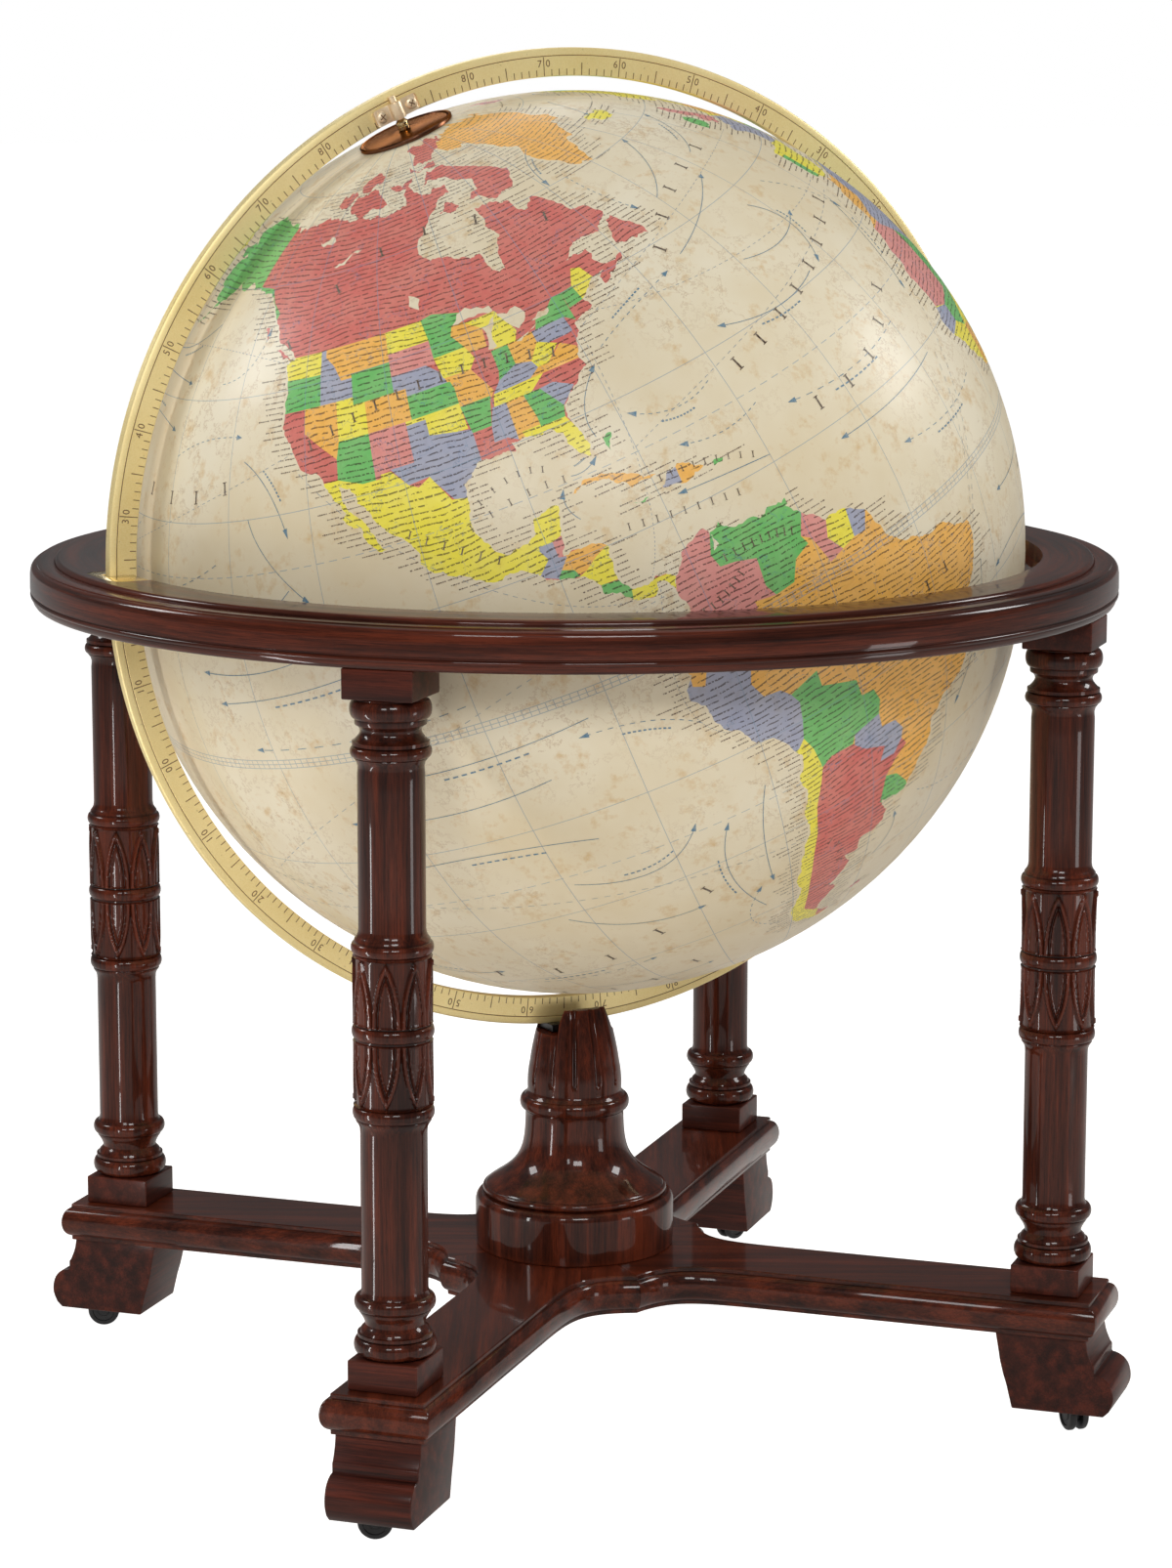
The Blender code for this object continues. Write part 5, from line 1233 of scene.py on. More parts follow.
# drawn over the lands, the later over the earlier
countries = {
    "rose": """43 12, 52 12, 50 6, 41.5 -2, 41 3.5, 48 8; 2.7 6, 2.7 12, 4 13.5, 13.5 13.5, 12 7, 8.5 4; 25 33,
        35 32, 37 22, 25 22; 12 -6, 17 -8, 22 -11, 24 -17.5, 11 -17.5; 14.3 54.5, 23 54.4, 24 50.5, 14.8 50.8;
        105 23, 108 21.5, 110 12, 105 8, 106 17; 129 -26, 141 -26, 141 -39, 129 -39; 74 39.5, 80 45, 87 49,
        96 43, 110 43, 117 47, 120 53, 131 47.5, 131 42.5, 124 40, 122 31, 108 21.5, 98 25, 97 28, 85 28, 79 32;
        -67.8 -22.8, -66.3 -21.9, -62.8 -22, -61 -23.8, -57.7 -25.2, -58.6 -27.2, -56 -27.3, -54.6 -25.7,
        -53.7 -27, -55.8 -28.3, -57.6 -30.2, -58.2 -32.5, -58.4 -34.3, -56 -36, -57 -39, -61 -42.5, -64 -48,
        -67 -52.4, -64 -55, -68.6 -55.2, -68.6 -52.5, -70 -52, -72.4 -50, -72 -46, -71.6 -42, -70.8 -36.5,
        -70 -33, -69.6 -28.5, -68.4 -25; -125 42, -120 42, -120 39, -114.6 35, -114.6 32.7, -118 32.5, -126 38;
        -94 33, -91.2 33, -91.6 31, -89.7 31, -89 29, -94 29.5; -90.6 42.5, -87.8 42.5, -87.5 39, -88.5 37.1,
        -89.2 37, -91.4 40.5, -90.2 41.7; -84.3 35, -81.7 36.6, -75.5 36.5, -75 35, -78.5 33.8, -81 35.1,
        -83.1 35; -73.5 42.7, -70 42.7, -70 41, -73.6 41""",
    "pink": """-18 28, -8.7 28, -8.7 27.3, -5 25, -5.5 15.5, -12 15, -17 16.5; 31 3.5, 34 5, 34 -1, 29.5 -1;
        20 -22, 26 -18, 29 -22, 25 -25.5, 20 -27; 13.7 46.5, 22 48.5, 28.5 45.5, 28 42, 23 38, 19.5 40; 44.5 40,
        54 37.5, 61 36, 61 25, 48 30; -72 13, -71.3 11.8, -72.5 9, -72 7.3, -70 7, -67.5 6.2, -67.8 2.8,
        -67 1.2, -69.8 1.7, -69.5 -1, -70 -4.2, -73 -2.3, -75.3 0, -78 0.8, -80 1.6, -79 5, -78.5 8, -77.2 9,
        -75 12; -59.8 9.5, -57 6.5, -58 4, -56.6 1.9, -58.8 1.3, -60 5, -61.2 5.9, -59.8 8.4; -89.2 17.8,
        -88.3 18.5, -87.5 17, -88.9 15.8, -89.2 15.9; -109 37, -103 37, -103 32, -106.6 32, -108.2 31.7,
        -109 31.3; -104 46, -96.5 46, -96.5 42.7, -98 43, -104 43""",
    "orange": """-17 28, -9 28, -3.5 31, -1.5 35.5, -6 36.5, -11 33; 4.5 19, 12 23.5, 15 23, 15.5 17, 13.5 13.5,
        4 13, 3.5 15.5; 15 8, 22.5 11, 27 5, 16 2; 29.5 -1, 34 -1, 39 -5, 41 -10.5, 34.5 -11.5, 30.5 -8,
        29.3 -4; 11 -17.5, 24 -17.5, 20 -22, 20 -28.5, 16 -29; 6 54, 14 54.5, 14.8 50.8, 12 50, 13.5 48.5,
        9 47.5, 8 49, 6 50.5; 88 49, 98 52, 116 49.8, 119 46.8, 110 42.7, 96 42.8; 39 32, 42.3 37.2, 46 36,
        48 30, 46.5 29; 124 40, 131 43, 130 35, 126 34; -8 10.5, -2.8 9.5, -2.8 5, -8 4; -81.5 1.6, -78.8 1.3,
        -75.3 0, -75.6 -1.5, -78.3 -3.5, -79 -5, -80.4 -4.4, -80.3 -3.4, -82 -2.5; -89.4 14.4, -88.2 16, -83 16,
        -83.1 15, -85 14.4, -86.7 13.3, -87.6 13.2, -88 13.9; -116 49, -104 49, -104 45, -111 45, -111 44.5,
        -113 44.5, -114.3 46.6, -116 48; -120 42, -114 42, -114 36.2, -114.6 35, -120 39; -109 41, -102 41,
        -102 37, -109 37; -95.8 40.6, -91.4 40.5, -89.2 37, -90 36, -90.4 36.5, -94.6 36.5; -92.8 46.7,
        -90 46.7, -87.5 45, -87.8 42.5, -90.6 42.5, -91.2 43.5, -92.8 45.5; -84.8 41.7, -80.5 42, -80.5 40.5,
        -82.5 38.5, -84.8 39; -88.2 35, -85.6 35, -85 32, -85 31, -87.6 31, -87.5 30.3, -88.4 30.3; -83.7 36.6,
        -82 37.5, -80.3 37.5, -77.5 39.2, -75.5 38, -75.5 36.5""",
    "blue": """-1.5 35.5, 8.3 37.5, 8 33, 9.7 29, 12 23.5, 4.5 19, -8.7 27.3, -8.7 29, -3.5 31; 15 23, 24 19.5,
        22.5 11, 15 8, 13.5 13.5, 15.5 17; -18 16.5, -12 15, -12 12.5, -17 12; 9 4, 12 7, 15 12.5, 16 2, 9 2;
        22 -11, 28 -13, 30.5 -8, 33 -10, 32 -14.5, 26 -18, 22 -17.5; 16 -29, 20 -28.5, 20 -27, 25 -25.5, 29 -22,
        32 -22, 34 -27, 28 -35, 17 -35; -5.5 48.8, 2.5 51.3, 8 49, 6.8 46, 7.5 43.6, 3.2 42.4, -1.8 43.4;
        20 39.8, 26 41.5, 24 36, 21 36.5; 92 22, 97 28, 98 25, 100 21, 98.5 10, 94 15; 141 -28.5, 154 -28.5,
        150 -37.5, 141 -34; -54 6.6, -51.2 5, -52.7 2.3, -54.5 2.4; -80.3 -3.4, -80.4 -4.4, -79 -5, -78.3 -3.5,
        -75.6 -1.5, -75.3 0, -73 -2.3, -70 -4.2, -73 -5, -73.8 -7.3, -72.8 -9.5, -70.6 -9.8, -69.5 -11,
        -68.7 -12.5, -69 -15, -69.5 -17.4, -70.4 -18.4, -72 -19, -83 -10, -83 -4; -62.3 -20.8, -58.1 -20,
        -57.9 -22.1, -55.6 -22.4, -54.3 -24.2, -54.6 -25.7, -56 -27.3, -58.6 -27.2, -57.7 -25.2, -61 -23.8,
        -62.6 -22.3; -92.2 14.5, -90.4 16.1, -91 17.2, -91 17.8, -89.2 17.8, -89.2 15.9, -88.2 15.7, -89.4 14.4,
        -90.1 13.6; -74.6 18, -73 20.3, -71.7 19.9, -71.8 18; -117 49, -116 49, -116 48, -114.3 46.6, -113 44.5,
        -111 44.5, -111 42, -117 42; -103 36.5, -100 36.5, -100 34.5, -96 33.8, -94 33.5, -94 29.5, -97 25.8,
        -99 26.4, -101.5 29.8, -104.5 29.6, -106.6 32, -103 32; -104 43, -98 43, -96 41.5, -95.4 40, -102 40,
        -102 41, -104 41; -84.8 39, -82.5 38.5, -82 37.5, -83.7 36.6, -89.4 36.5, -88 37.8; -91.2 33, -90.3 35,
        -88.2 35, -88.4 30.3, -89.7 31, -91.6 31; -83.1 35, -81 35.1, -78.5 33.8, -81 32; -80.5 42, -75 42,
        -74.8 40, -75.7 39.8, -80.5 39.8""",
    "yellow": """8.3 37.5, 11.5 38, 11.3 33.2, 9 32, 8 33; 25 22, 37 22, 38.5 18, 36 13, 34 8, 24 9, 22.5 11,
        24 19.5, 25 20; -17 12, -12 12.5, -8 10.5, -8 7.5, -14 8; 9 2, 18 4, 16 -5, 10 -5; 34 5, 42 4, 41.5 -2,
        39 -5, 34 -1; 26 -18, 30 -15.5, 33 -17, 32 -22, 27 -21; -9.8 44, -1.8 43.4, 3.4 42.4, -0.5 36, -6 35.8,
        -7.2 37, -6.8 41.9, -9.8 42; 11 59, 14 63.5, 20 69, 24 65.8, 17 61, 19 60, 14 55, 11 58; 23 51.5,
        33 52.3, 40 49.6, 38 47, 28 45.5, 22 48.5; 35 29, 39 32, 48 29.5, 52 24, 56 25, 60 22, 52 16, 43 12;
        98 19, 105 18, 105 12, 99 6; 68.5 24, 71 30, 75 36, 79 32, 81 30, 88 27.5, 97 28, 92 22, 88 21.5,
        80 7.5, 72 18; 138 -10, 154 -10, 154 -28.5, 141 -29, 141 -26, 138 -26; -57 6.6, -54 6.6, -54.5 2.4,
        -56.6 1.9, -58 4; -70.4 -18.4, -69.5 -17.4, -68.5 -19.5, -67.8 -22.8, -68.4 -25, -69.6 -28.5, -70 -33,
        -70.8 -36.5, -71.6 -42, -72 -46, -72.4 -50, -70 -52, -68.6 -52.5, -68.6 -55.6, -77 -54, -77 -45,
        -74.5 -33, -72 -19; -117.1 32.5, -114.8 32.5, -111 31.3, -108.2 31.3, -108.2 31.8, -106.6 31.8,
        -104.5 29.6, -103.2 29, -101.4 29.8, -99.3 26.4, -96.5 25.9, -95 22, -94 19.5, -90 22.5, -86 22,
        -87 18.4, -89.2 17.8, -91 17.8, -91 17.2, -90.4 16.1, -92.2 14.5, -97 14.8, -106 18, -112 22, -116 27,
        -119 32; -87.7 13, -86.7 13.3, -85 14.4, -83.1 15.2, -83 11, -85.7 11.1, -88 12.5; -82.6 9.6, -77.4 9.2,
        -77.3 8.6, -77.9 7.1, -82.9 7.8, -82.9 8.2; -125 49, -117 49, -117 46, -119 46, -124.5 46.2; -114 42,
        -111 42, -111 41, -109 41, -109 37, -114 37; -104 49, -97.2 49, -96.6 46, -104 46; -103 37, -94.6 37,
        -94.4 33.7, -96 33.8, -100 34.5, -100 36.5, -103 36.5; -96.5 43.5, -91.2 43.5, -90.2 41.7, -91.4 40.5,
        -95.8 40.6; -90 46.5, -84.5 46.5, -82.5 43, -83.4 41.7, -87 41.8, -86.5 44, -87.5 45; -90 35,
        -89.4 36.5, -81.7 36.6, -84.3 35; -87.6 31, -85 31, -81.5 30.7, -79.8 27, -80.5 24.8, -83 27, -85 29.5,
        -87.5 30.2; -71 45.3, -69.3 47.4, -67.8 47, -67 45, -70.7 43; -82.5 38.5, -80.5 40.5, -77.8 39.3,
        -80.3 37.5, -82 37.5""",
    "green": """11.3 33.2, 25 33, 25 20, 15 23, 12 23.5, 9.7 29, 9 32; -5 25, 3 20, 4.5 19, 3.5 15.5, -4 13,
        -8 10.5, -12 12.5, -12 15, -5.5 15.5; 38.5 18, 43 12, 48 8, 42 4, 34 5, 34 8, 36 13; -2.8 11, 1 11,
        2.7 6, -2.8 4; 12.5 -6, 16 -5, 18 4.5, 27 5, 31 3.5, 29.3 -4, 30.5 -8, 28 -13, 22 -11, 17 -8;
        34.5 -11.5, 41 -10.5, 41 -16, 33 -27, 32 -22, 33 -16; -10 42, -6.8 41.9, -7.2 37, -9.5 36.8; 6.8 46,
        13.7 46.5, 12.5 44.5, 18.8 40.2, 16 37.8, 12 41.5, 7.5 43.7; 20.6 69, 28 70, 31 63, 28 60, 20 60,
        24 65.8; 26 42, 44.5 41, 44.5 37, 36 36, 27 36; 47 49, 60 55, 77 54, 87 49, 80 42, 68 41, 56 41.5,
        50 46; 61 25, 68.5 24, 71 30, 75 36, 70 36, 66 30, 61 29.5; 129 -10, 138 -10, 138 -26, 129 -26; 141 -34,
        150 -37.5, 146 -40, 141 -40; -71.3 13, -60 11.5, -59.8 8.4, -61.2 5.9, -60.7 4.7, -63 3.8, -64.3 1.5,
        -67 1.2, -67.8 2.8, -67.5 6.2, -70 7, -72 7.3, -72.5 9, -71.3 11.8; -69.5 -11, -65.4 -9.8, -65.3 -12,
        -60.5 -13.8, -60.2 -16.2, -58.3 -16.3, -57.6 -18.2, -58.1 -20, -62.3 -20.8, -62.8 -22, -66.3 -21.9,
        -67.8 -22.8, -68.5 -19.5, -69.5 -17.4, -69 -15, -68.7 -12.5; -57.6 -30.2, -55.5 -31, -53.3 -33.5,
        -53 -34.5, -56 -36, -58.6 -34.3, -58.2 -32.5; -90.1 13.6, -89.4 14.4, -88 13.9, -87.6 13, -90 13;
        -85.7 11.1, -83.5 10.9, -82.6 9.6, -82.9 8.2, -84 8, -86.2 10; -141 70.5, -141 60.2, -139 60,
        -135.5 59.7, -133 57.5, -130 55.8, -130.5 54.5, -137 56.5, -150 57, -170 52, -170 67, -167 70, -156 72;
        -125 46.2, -119 46, -117 46, -117 42, -125 42; -111 45, -104 45, -104 41, -111 41; -114 37, -109 37,
        -109 31.3, -111 31.3, -114.8 32.5, -114.6 35; -102 40, -95 40, -94.6 39, -94.6 37, -102 37; -97.2 49,
        -95 49.3, -89.6 48, -92.2 46.7, -92.8 45.5, -91.2 43.5, -96.5 43.5, -96.6 46; -94.6 36.5, -90 36.5,
        -91.2 33, -94 33; -87.5 41.7, -84.8 41.7, -84.8 39, -88 37.8, -87.5 39; -85.6 35, -83.1 35, -81 32,
        -81.5 30.7, -85 30.7, -85 32; -79.8 42, -79 43.3, -76.5 44, -75 45, -73.3 45, -73.5 41, -75 42;
        -73.3 45, -71 45.2, -70.7 43, -73.3 42.7""",
}
lakes = """-92 46.8, -89 48.5, -85 47.5, -84.7 46.6, -88 46.8; -87.8 42, -86.3 42, -86.3 44, -85 45.9, -87.5 45;
    -84.5 46, -81 46, -80 44.7, -82 43, -83.5 44.5; -83.3 41.6, -79 42.8, -80 42.3, -82.5 41.4; -79.7 43.3,
    -76.3 44, -76.5 43.5, -79 43.2; -98.5 53, -96.5 52, -97 50.5, -98.8 51.5; -125 66, -121 66.5, -119 65.5,
    -123 65; -117 61, -112 62.5, -109.5 62.8, -114 61; 47.5 45, 51 47, 53 44, 53 37.5, 49.5 37.5, 48.5 41.5;
    32 0.5, 34 0, 33.5 -2.5, 31.8 -2; 58.5 46, 61 46, 60 43.5; 104 51.5, 109 54.5, 109.5 55.5, 105.5 52"""

ballSet = {"radius": 406.4, "grid": 2.5, "coastStep": 0.5, "lakeStep": 1.2, "wobble": 0.16, "turned": 24.3,
           "lift": 0.10}
west = Vector((math.cos(tilt), 0, math.sin(tilt)))


def onBall(east, north, lift=0.0):
    turn, rise = math.radians(east - ballSet["turned"]), math.radians(north)
    flat = west * math.cos(turn) + Vector((0, 1, 0)) * math.sin(turn)
    return centre + (flat * math.cos(rise) + pole * math.sin(rise)) * ((ballSet["radius"] + lift) * mm)


def readOutline(text):
    return [Vector([float(number) for number in pair.split()]) for pair in text.split(",")]


def roughEdge(start, end, step):
    # a straight stretch of coast broken into smaller and smaller bays
    span = (end - start).length
    if span < step or (abs(start.x) > 179.9 and abs(end.x) > 179.9) or min(start.y, end.y) < -88:
        count = max(1, int(span / 2.5))
        return [start + (end - start) * index / count for index in range(count)]
    chance = random.Random(f"{start.x:.3f} {start.y:.3f} {end.x:.3f} {end.y:.3f}")
    across = Vector((start.y - end.y, end.x - start.x))
    middle = (start + end) / 2 + across * chance.uniform(-ballSet["wobble"], ballSet["wobble"])
    return roughEdge(start, middle, step) + roughEdge(middle, end, step)


def roughOutline(corners, step):
    made = []
    for start, end in zip(corners, corners[1:] + corners[:1]):
        made += roughEdge(start, end, step)
    return [Vector((max(-180, min(180, spot.x)), max(-90, min(90, spot.y)))) for spot in made]


def straightOutline(corners):
    made = []
    for start, end in zip(corners, corners[1:] + corners[:1]):
        count = max(1, int((end - start).length / 2.5))
        made += [start + (end - start) * index / count for index in range(count)]
    return made


coasts = {name: roughOutline(readOutline(text), ballSet["coastStep"]) for name, (colour, text) in lands.items()}


def meshPiece(name, spots, faces):
    mesh = bpy.data.meshes.new(name)
    mesh.from_pydata(spots, [], faces)
    item = bpy.data.objects.new(name, mesh)
    bpy.context.scene.collection.objects.link(item)
    return item


def storeCorners(item, name, kind, field, values):
    item.data.attributes.new(name, kind, "CORNER").data.foreach_set(field, values)


def covers(outline, spots):
    # which spots lie inside an outline, by counting the sides each one crosses
    x, y = spots[:, 0], spots[:, 1]
    inside = numpy.zeros(len(spots), bool)
    for start, end in zip(outline, outline[1:] + outline[:1]):
        if start.y != end.y:
            crossed = (start.y > y) != (end.y > y)
            inside ^= crossed & (x < (end.x - start.x) * (y - start.y) / (end.y - start.y) + start.x)
    return inside


def makeBall():
    spots, sides, areas = [], [], []

    def addArea(outline, kind, colour):
        first = len(spots)
        spots.extend(outline)
        sides.extend((first + index, first + (index + 1) % len(outline)) for index in range(len(outline)))
        areas.append((outline, kind, colour))

    for name, (colour, text) in lands.items():
        addArea(coasts[name], "land", colour)
    for colour, outlines in countries.items():
        for text in outlines.split(";"):
            addArea(straightOutline(readOutline(text)), "country", colour)
    for text in lakes.split(";"):
        addArea(roughOutline(readOutline(text), ballSet["lakeStep"]), "lake", "ice")
    across = int(360 / ballSet["grid"])
    for row in range(across // 2 + 1):
        for column in range(across + 1):
            spots.append(Vector((-180 + column * ballSet["grid"], -90 + row * ballSet["grid"])))
    flat, edges, cells, *rest = delaunay_2d_cdt(spots, sides, [], 0, 1e-5, False)
    flatPlaces = numpy.array([(spot.x, spot.y) for spot in flat])
    middles = flatPlaces[numpy.array(cells)].mean(1)
    dry = numpy.zeros(len(cells), bool)
    chosen = numpy.full(len(cells), "ice", dtype=object)
    for outline, kind, colour in areas:
        inside = covers(outline, middles)
        if kind == "land":
            dry |= inside
            chosen[inside] = colour
        elif kind == "country":
            chosen[inside & dry & (middles[:, 1] > -60)] = colour
        else:
            dry &= ~inside
    ball = meshPiece("mapBall", [onBall(spot.x, spot.y) for spot in flat], cells)
    places, colours, dryness = [], [], []
    for cell, isDry, colour in zip(cells, dry, chosen):
        for index in cell:
            places += [(flat[index].x + 180) / 360, (flat[index].y + 90) / 180]
            colours += [*inks[colour], 1]
            dryness.append(float(isDry and colour != "ice"))
    ball.data.uv_layers.new(name="lonLat").data.foreach_set("uv", places)
    storeCorners(ball, "tint", "FLOAT_COLOR", "color", colours)
    storeCorners(ball, "land", "FLOAT", "value", dryness)
    tidyFaces(ball)
    smoothBy(ball, 60)
    finish(ball, mapPaint, "globe", "globe_shell", "globe_north_half", "globe_south_half")


makeBall()
print("ball and map made")


# what is printed over the map: currents, ship routes and the fine strokes along the coasts
currents = """-178 42, -166 43, -153 41; -150 38, -142 40, -133 40; -132 37, -127 33, -124 27; -131 30, -128 25,
    -122 19; -138 25, -149 22, -161 21; -118 15, -130 12, -144 12; -112 11, -126 9, -142 8; -141 47, -134 49,
    -131 54; -150 55, -158 52, -167 51; -176 48, -165 48, -152 47; -160 30, -168 26, -178 25; -125 21, -134 17,
    -146 16; -99 12, -107 11, -116 12; -106 3, -121 2, -138 2; -93 -3, -107 -4, -121 -4; -100 -9, -114 -10,
    -128 -9; -81 -9, -87 -6, -95 -5; -76 -21, -78 -29, -78 -38; -80 -43, -84 -33, -82 -24; -78 -50, -83 -45,
    -80 -38; -98 -19, -110 -17, -123 -17; -108 -31, -99 -36, -89 -37; -131 -45, -117 -47, -101 -46; -120 -52,
    -108 -55, -93 -55; -104 -25, -93 -27, -86 -22; -145 -20, -156 -18, -167 -18; -150 -35, -140 -40, -127 -41;
    -79 27, -78.5 31, -74.5 35; -72.5 36.5, -65 39, -56 41; -52 42, -42 45, -32 49; -26 52, -19 55, -12 60;
    -54 60, -53 55, -50 50; -51 68, -57 65, -59 60; -27 14, -38 13, -50 13; -30 20, -42 19, -54 20; -60 16,
    -66 16.5, -73 17; -15 35, -18 29, -21 21; -24 43, -18 38, -15 33; -36 31, -46 30, -56 32; -44 37, -35 36,
    -27 38; -62 27, -68 26, -74 28; -45 50, -38 54, -31 60; -33 42, -30 37, -33 31; -58 22, -64 21, -70 22;
    -84 24, -82 24, -80 25; -85 19, -86 21, -85.5 23; -20 8, -30 7, -41 8; 0 -4, -12 -6, -25 -6; -34 -11,
    -37 -19, -43 -27; -50 -37, -41 -40, -29 -41; 11 -30, 8 -22, 3 -14; -10 -15, -20 -13, -30 -14; -15 -40,
    -3 -42, 10 -41; -58 -45, -55 -42, -55 -38; -25 -25, -15 -30, -4 -31; 20 -40, 33 -41, 47 -41; 35 -27, 32 -32,
    26 -36; 42 -8, 45 -3, 50 2; 55 12, 62 16, 68 19; 88 12, 84 9, 80 4; 90 -12, 76 -13, 62 -13; 100 -35, 85 -38,
    70 -38; 111 -30, 108 -24, 105 -18; 130 25, 134 30, 141 34; 145 36, 156 38, 168 39; 160 12, 147 12, 134 13;
    175 3, 162 3, 150 3; 155 -25, 156 -31, 154 -37; 165 -40, 175 -44, 178 -50; 160 55, 152 50, 147 44; 5 66,
    10 70, 18 73; -5 72, -12 70, -20 66; 120 -50, 135 -52, 150 -52; 60 -50, 75 -52, 90 -52; -30 -55, -18 -57,
    -5 -57; 170 -60, -178 -60, -165 -59"""
routes = """-79.5 8.5, -95 13, -122 35; -80 9.5, -76 20, -74 39; -73 40, -40 48, -7 50; -79.5 8, -82 -5,
    -78 -12; -122 37, -150 30, -179 22; -35 -8, -22 15, -12 36; -58 -35, -40 -15, -25 14; -79.5 7, -110 0,
    -150 -17; 18 -35, 0 -10, -17 14; 44 12, 60 8, 79 6; -123 48, -150 52, -178 50; -70 41, -45 38, -10 38;
    -75 24, -50 30, -12 36; -72 -33, -110 -27, -150 -18"""
printSet = {"current": ink(70, 122, 150), "route": ink(120, 140, 160), "label": ink(92, 68, 50),
            "dark": ink(70, 48, 34), "half": 0.052, "pitch": 0.74, "arrowHalf": 0.34, "arrowLong": 1.25,
            "aside": 1.1, "dashHalf": 0.10, "above": 0.03}
# long spaced wording of a printed map, kept as a run of plain upright marks: the arc, how many, how tall
spreads = [("-125 51, -98 62, -66 56", 6, 1.5), ("-119 37.5, -98 41, -79 38.5", 12, 1.2),
           ("-54 44, -41 50, -23 52", 5, 1.5), ("-57 27, -38 31, -18 36", 8, 1.6), ("-50 18, -38 19, -27 24", 5, 1.6),
           ("-96 25, -91 26.5, -87 26", 6, 0.7), ("-98 22.5, -91 24, -85 24", 6, 0.8),
           ("-74 19.5, -68 19, -62 17", 9, 0.7), ("-80 16, -73 15, -66 14", 9, 0.8),
           ("-106 24, -101 21, -96 18", 6, 0.9), ("-77 3, -73 4, -70 5.5", 8, 0.9), ("-71 8, -66 8, -62 7", 9, 0.9),
           ("-62 -8, -52 -9, -42 -8", 6, 1.3), ("-152 -32, -118 -43, -88 -34", 7, 1.6),
           ("-140 -50, -118 -56, -96 -52", 5, 1.5), ("-165 35, -150 33, -136 34", 5, 1.5),
           ("-68 -36, -66 -40, -68 -46", 6, 0.8), ("-10 -8, -3 -20, -6 -34", 8, 1.6),
           ("55 -15, 75 -20, 95 -15", 6, 1.6), ("-5 23, 10 25, 26 22", 6, 1.4), ("60 60, 90 64, 125 62", 6, 1.6),
           ("80 36, 100 38, 115 36", 5, 1.4), ("120 -24, 133 -26, 146 -24", 9, 1.3),
           ("150 20, 165 14, 178 12", 7, 1.6)]


def acrossBall(degrees):
    return degrees * math.pi / 180 * ballSet["radius"] * mm


class Sheet:
    # thin printed shapes gathered into one mesh, each with its own ink
    def __init__(self):
        self.spots, self.faces, self.tints = [], [], []

    def strip(self, line, half, tint, lift=0.0):
        first = len(self.spots)
        for index, spot in enumerate(line):
            before, after = line[max(index - 1, 0)], line[min(index + 1, len(line) - 1)]
            here = onBall(spot.x, spot.y, ballSet["lift"] + lift)
            along = onBall(after.x, after.y) - onBall(before.x, before.y)
            side = (here - centre).cross(along).normalized() * acrossBall(half)
            self.spots += [here - side, here + side]
        for index in range(len(line) - 1):
            step = first + index * 2
            self.faces.append((step, step + 2, step + 3, step + 1))
            self.tints.append(tint)

    def head(self, tip, tail, half, tint):
        here, back = onBall(tip.x, tip.y, ballSet["lift"]), onBall(tail.x, tail.y, ballSet["lift"])
        side = (here - centre).cross(here - back).normalized() * acrossBall(half)
        self.spots += [back - side, here, back + side]
        self.faces.append((len(self.spots) - 3, len(self.spots) - 2, len(self.spots) - 1))
        self.tints.append(tint)

    def make(self, name):
        item = meshPiece(name, self.spots, self.faces)
        colours = [value for cell, colour in zip(self.faces, self.tints) for _ in cell for value in (*colour, 1)]
        storeCorners(item, "tint", "FLOAT_COLOR", "color", colours)
        return item


def bowLine(corners, count):
    start, middle, end = corners
    bend = middle * 2 - (start + end) / 2
    made = []
    for index in range(count + 1):
        share = index / count
        made.append(start * (1 - share) ** 2 + bend * 2 * share * (1 - share) + end * share ** 2)
    return made


def shorterWay(corners):
    # keeps a line that crosses the date line in one piece
    made = [corners[0]]
    for spot in corners[1:]:
        shift = 360 * round((made[-1].x - spot.x) / 360)
        made.append(Vector((spot.x + shift, spot.y)))
    return made


def coastLabels(chance):
    # rows of small print that start at the coasts and run out over the water, kept as plain strokes
    taken, marks = {}, []
    for name, outline in coasts.items():
        area = sum(a.x * b.y - b.x * a.y for a, b in zip(outline, outline[1:] + outline[:1]))
        for start, end in zip(outline, outline[1:] + outline[:1]):
            out = (end.y - start.y) * math.copysign(1, area) / (end - start).length
            if name == "antarctica" or abs(start.y) > 78 or abs(out) < 0.30:
                continue
            row = round(start.y / printSet["pitch"])
            north = row * printSet["pitch"] + chance.uniform(-0.10, 0.10)
            stretch = math.copysign(1 / math.cos(math.radians(start.y)), out)
            gone, word, label = 0.35, chance.uniform(0.6, 1.6), len(marks)
            reach = chance.uniform(1.2, 2.6) + 2.4 * chance.random() ** 2
            while gone < reach:
                east = start.x + gone * stretch
                if taken.setdefault((row, int(east // (0.6 * abs(stretch)))), label) != label:
                    break
                size = chance.uniform(0.12, 0.30)
                ends = Vector((east, north)), Vector((east + size * stretch, north))
                marks.append((*ends, chance.uniform(0.04, 0.085)))
                word -= size
                gone += size + (0.06 if word > 0 else 0.26)
                word = word if word > 0 else chance.uniform(0.6, 1.6)
    middles = numpy.array([((first.x + last.x) / 2, first.y) for first, last, half in marks])
    ashore = numpy.zeros(len(marks), bool)
    for outline in coasts.values():
        ashore |= covers(outline, middles)
    return [mark for mark, hidden in zip(marks, ashore) if not hidden]


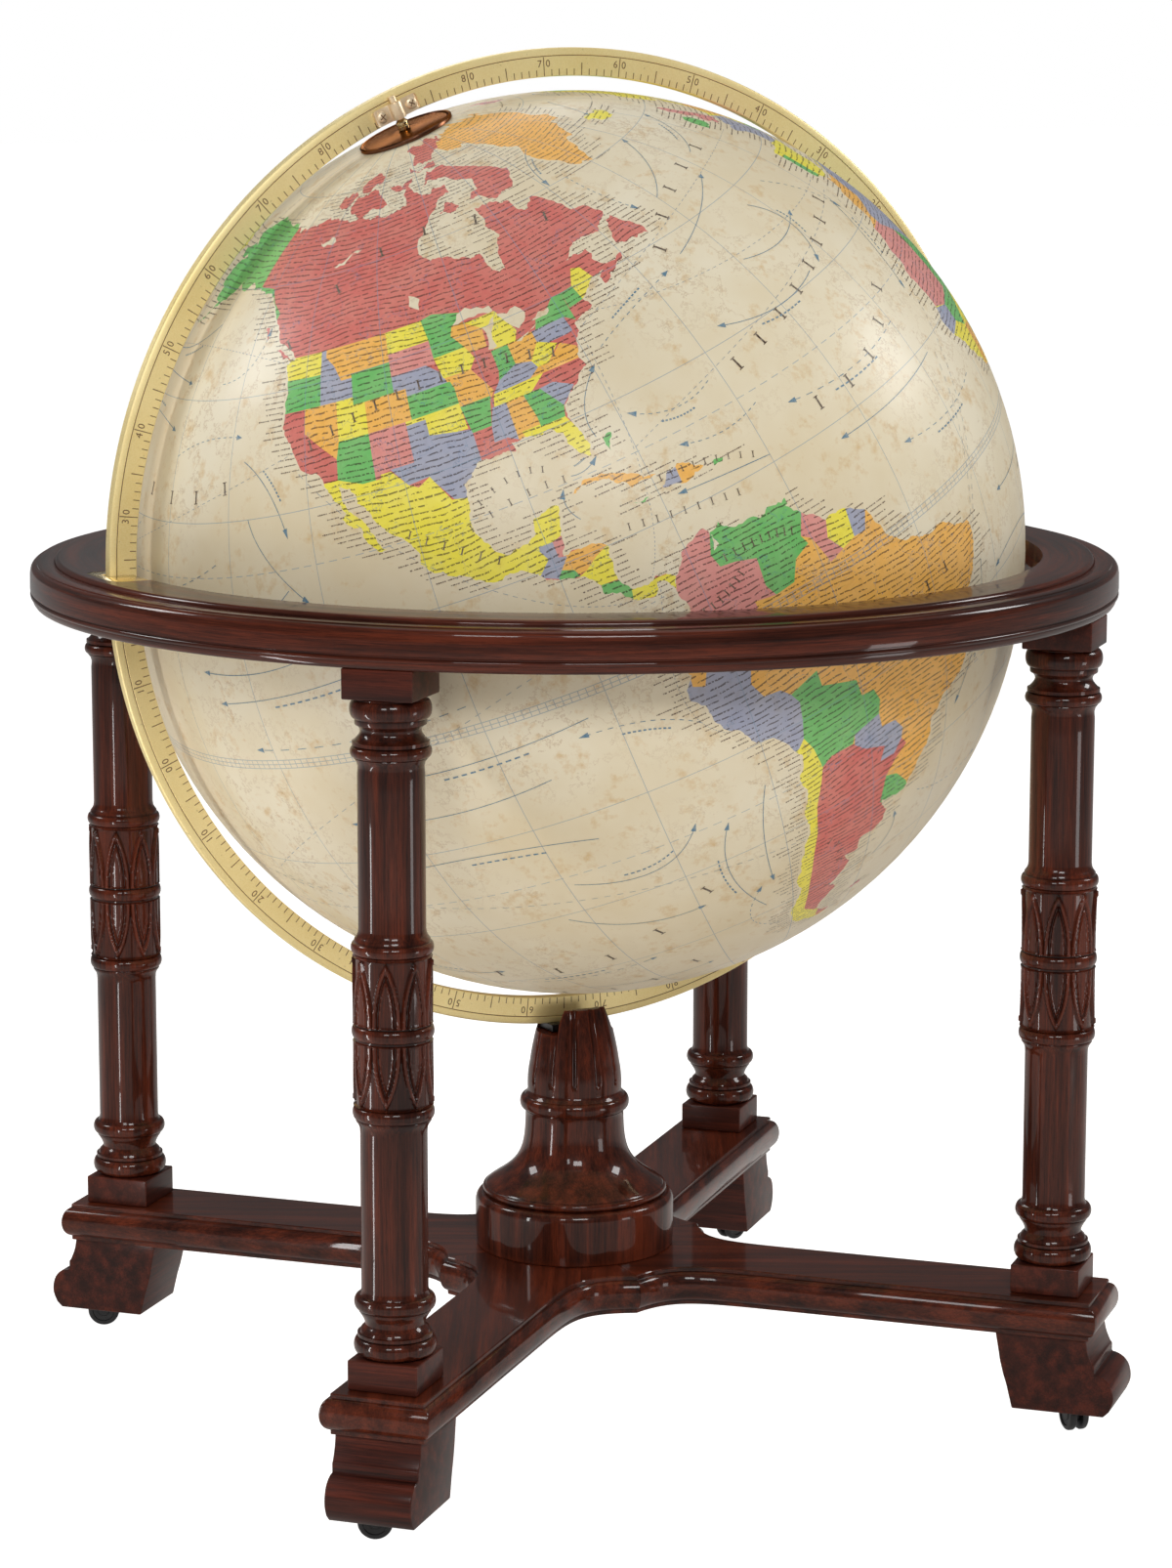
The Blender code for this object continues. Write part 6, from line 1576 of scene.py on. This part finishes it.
def makePrinted():
    sheet = Sheet()
    chance = random.Random(7)
    for number, text in enumerate(currents.split(";")):
        line = bowLine(shorterWay(readOutline(text)), 24)
        tail = line[-1] + (line[-2] - line[-1]).normalized() * printSet["arrowLong"]
        if number % 3 == 1:
            for index in range(0, 23, 2):
                sheet.strip(line[index:index + 2], printSet["half"] * 0.85, printSet["current"])
        else:
            sheet.strip(line[:-1], printSet["half"] * 0.85, printSet["current"])
        sheet.head(line[-1], tail, printSet["arrowHalf"], printSet["current"])
        if number % 2 == 0:
            shift = Vector((line[12].y - line[14].y, line[14].x - line[12].x)).normalized() * printSet["aside"]
            for index in range(7, 17):
                dash = [line[index] + shift, line[index] * 0.4 + line[index + 1] * 0.6 + shift]
                sheet.strip(dash, printSet["dashHalf"], printSet["current"])
    for text in routes.split(";"):
        line = bowLine(readOutline(text), 90)
        for index in range(0, 89, 2):
            sheet.strip(line[index:index + 2], printSet["half"] * 0.6, printSet["route"])
    for text, count, tall in spreads:
        line = bowLine(readOutline(text), count - 1)
        for index, spot in enumerate(line):
            ahead = (line[min(index + 1, count - 1)] - line[max(index - 1, 0)]).normalized()
            up = Vector((-ahead.y / math.cos(math.radians(spot.y)), ahead.x)) * tall / 2
            foot = Vector((ahead.x / math.cos(math.radians(spot.y)), ahead.y)) * tall * 0.22
            sheet.strip([spot - up, spot + up], tall * 0.085, printSet["dark"], printSet["above"])
            for end in (spot - up, spot + up):
                sheet.strip([end - foot, end + foot], tall * 0.035, printSet["dark"], printSet["above"])
    for begin, stop, half in coastLabels(chance):
        sheet.strip([begin, stop], half, printSet["label"])
    finish(sheet.make("mapPrint"), printInk, "globe", "globe_shell")
    print("printed strokes:", len(sheet.faces))


makePrinted()


# a plain pale floor
floorSet = {"size": 70, "tone": (0.56, 0.52, 0.48, 1), "rough": 0.9, "glow": 0.28, "seenGlow": 0.72}
putDown()
bpy.ops.mesh.primitive_plane_add(size=floorSet["size"])
floor = bpy.context.object
floor.name = "floor"
floorPaint = Paint("floor")
# only the camera sees it glow, so the polished wood keeps its dark reflections
seenGlow = floorPaint.node("LightPath")
floorPaint.set(Base_Color=floorSet["tone"], Roughness=floorSet["rough"], Emission_Strength=1.0)
floor.data.materials.append(floorPaint.set(Emission_Color=seenGlow * floorSet["seenGlow"] + floorSet["glow"]))
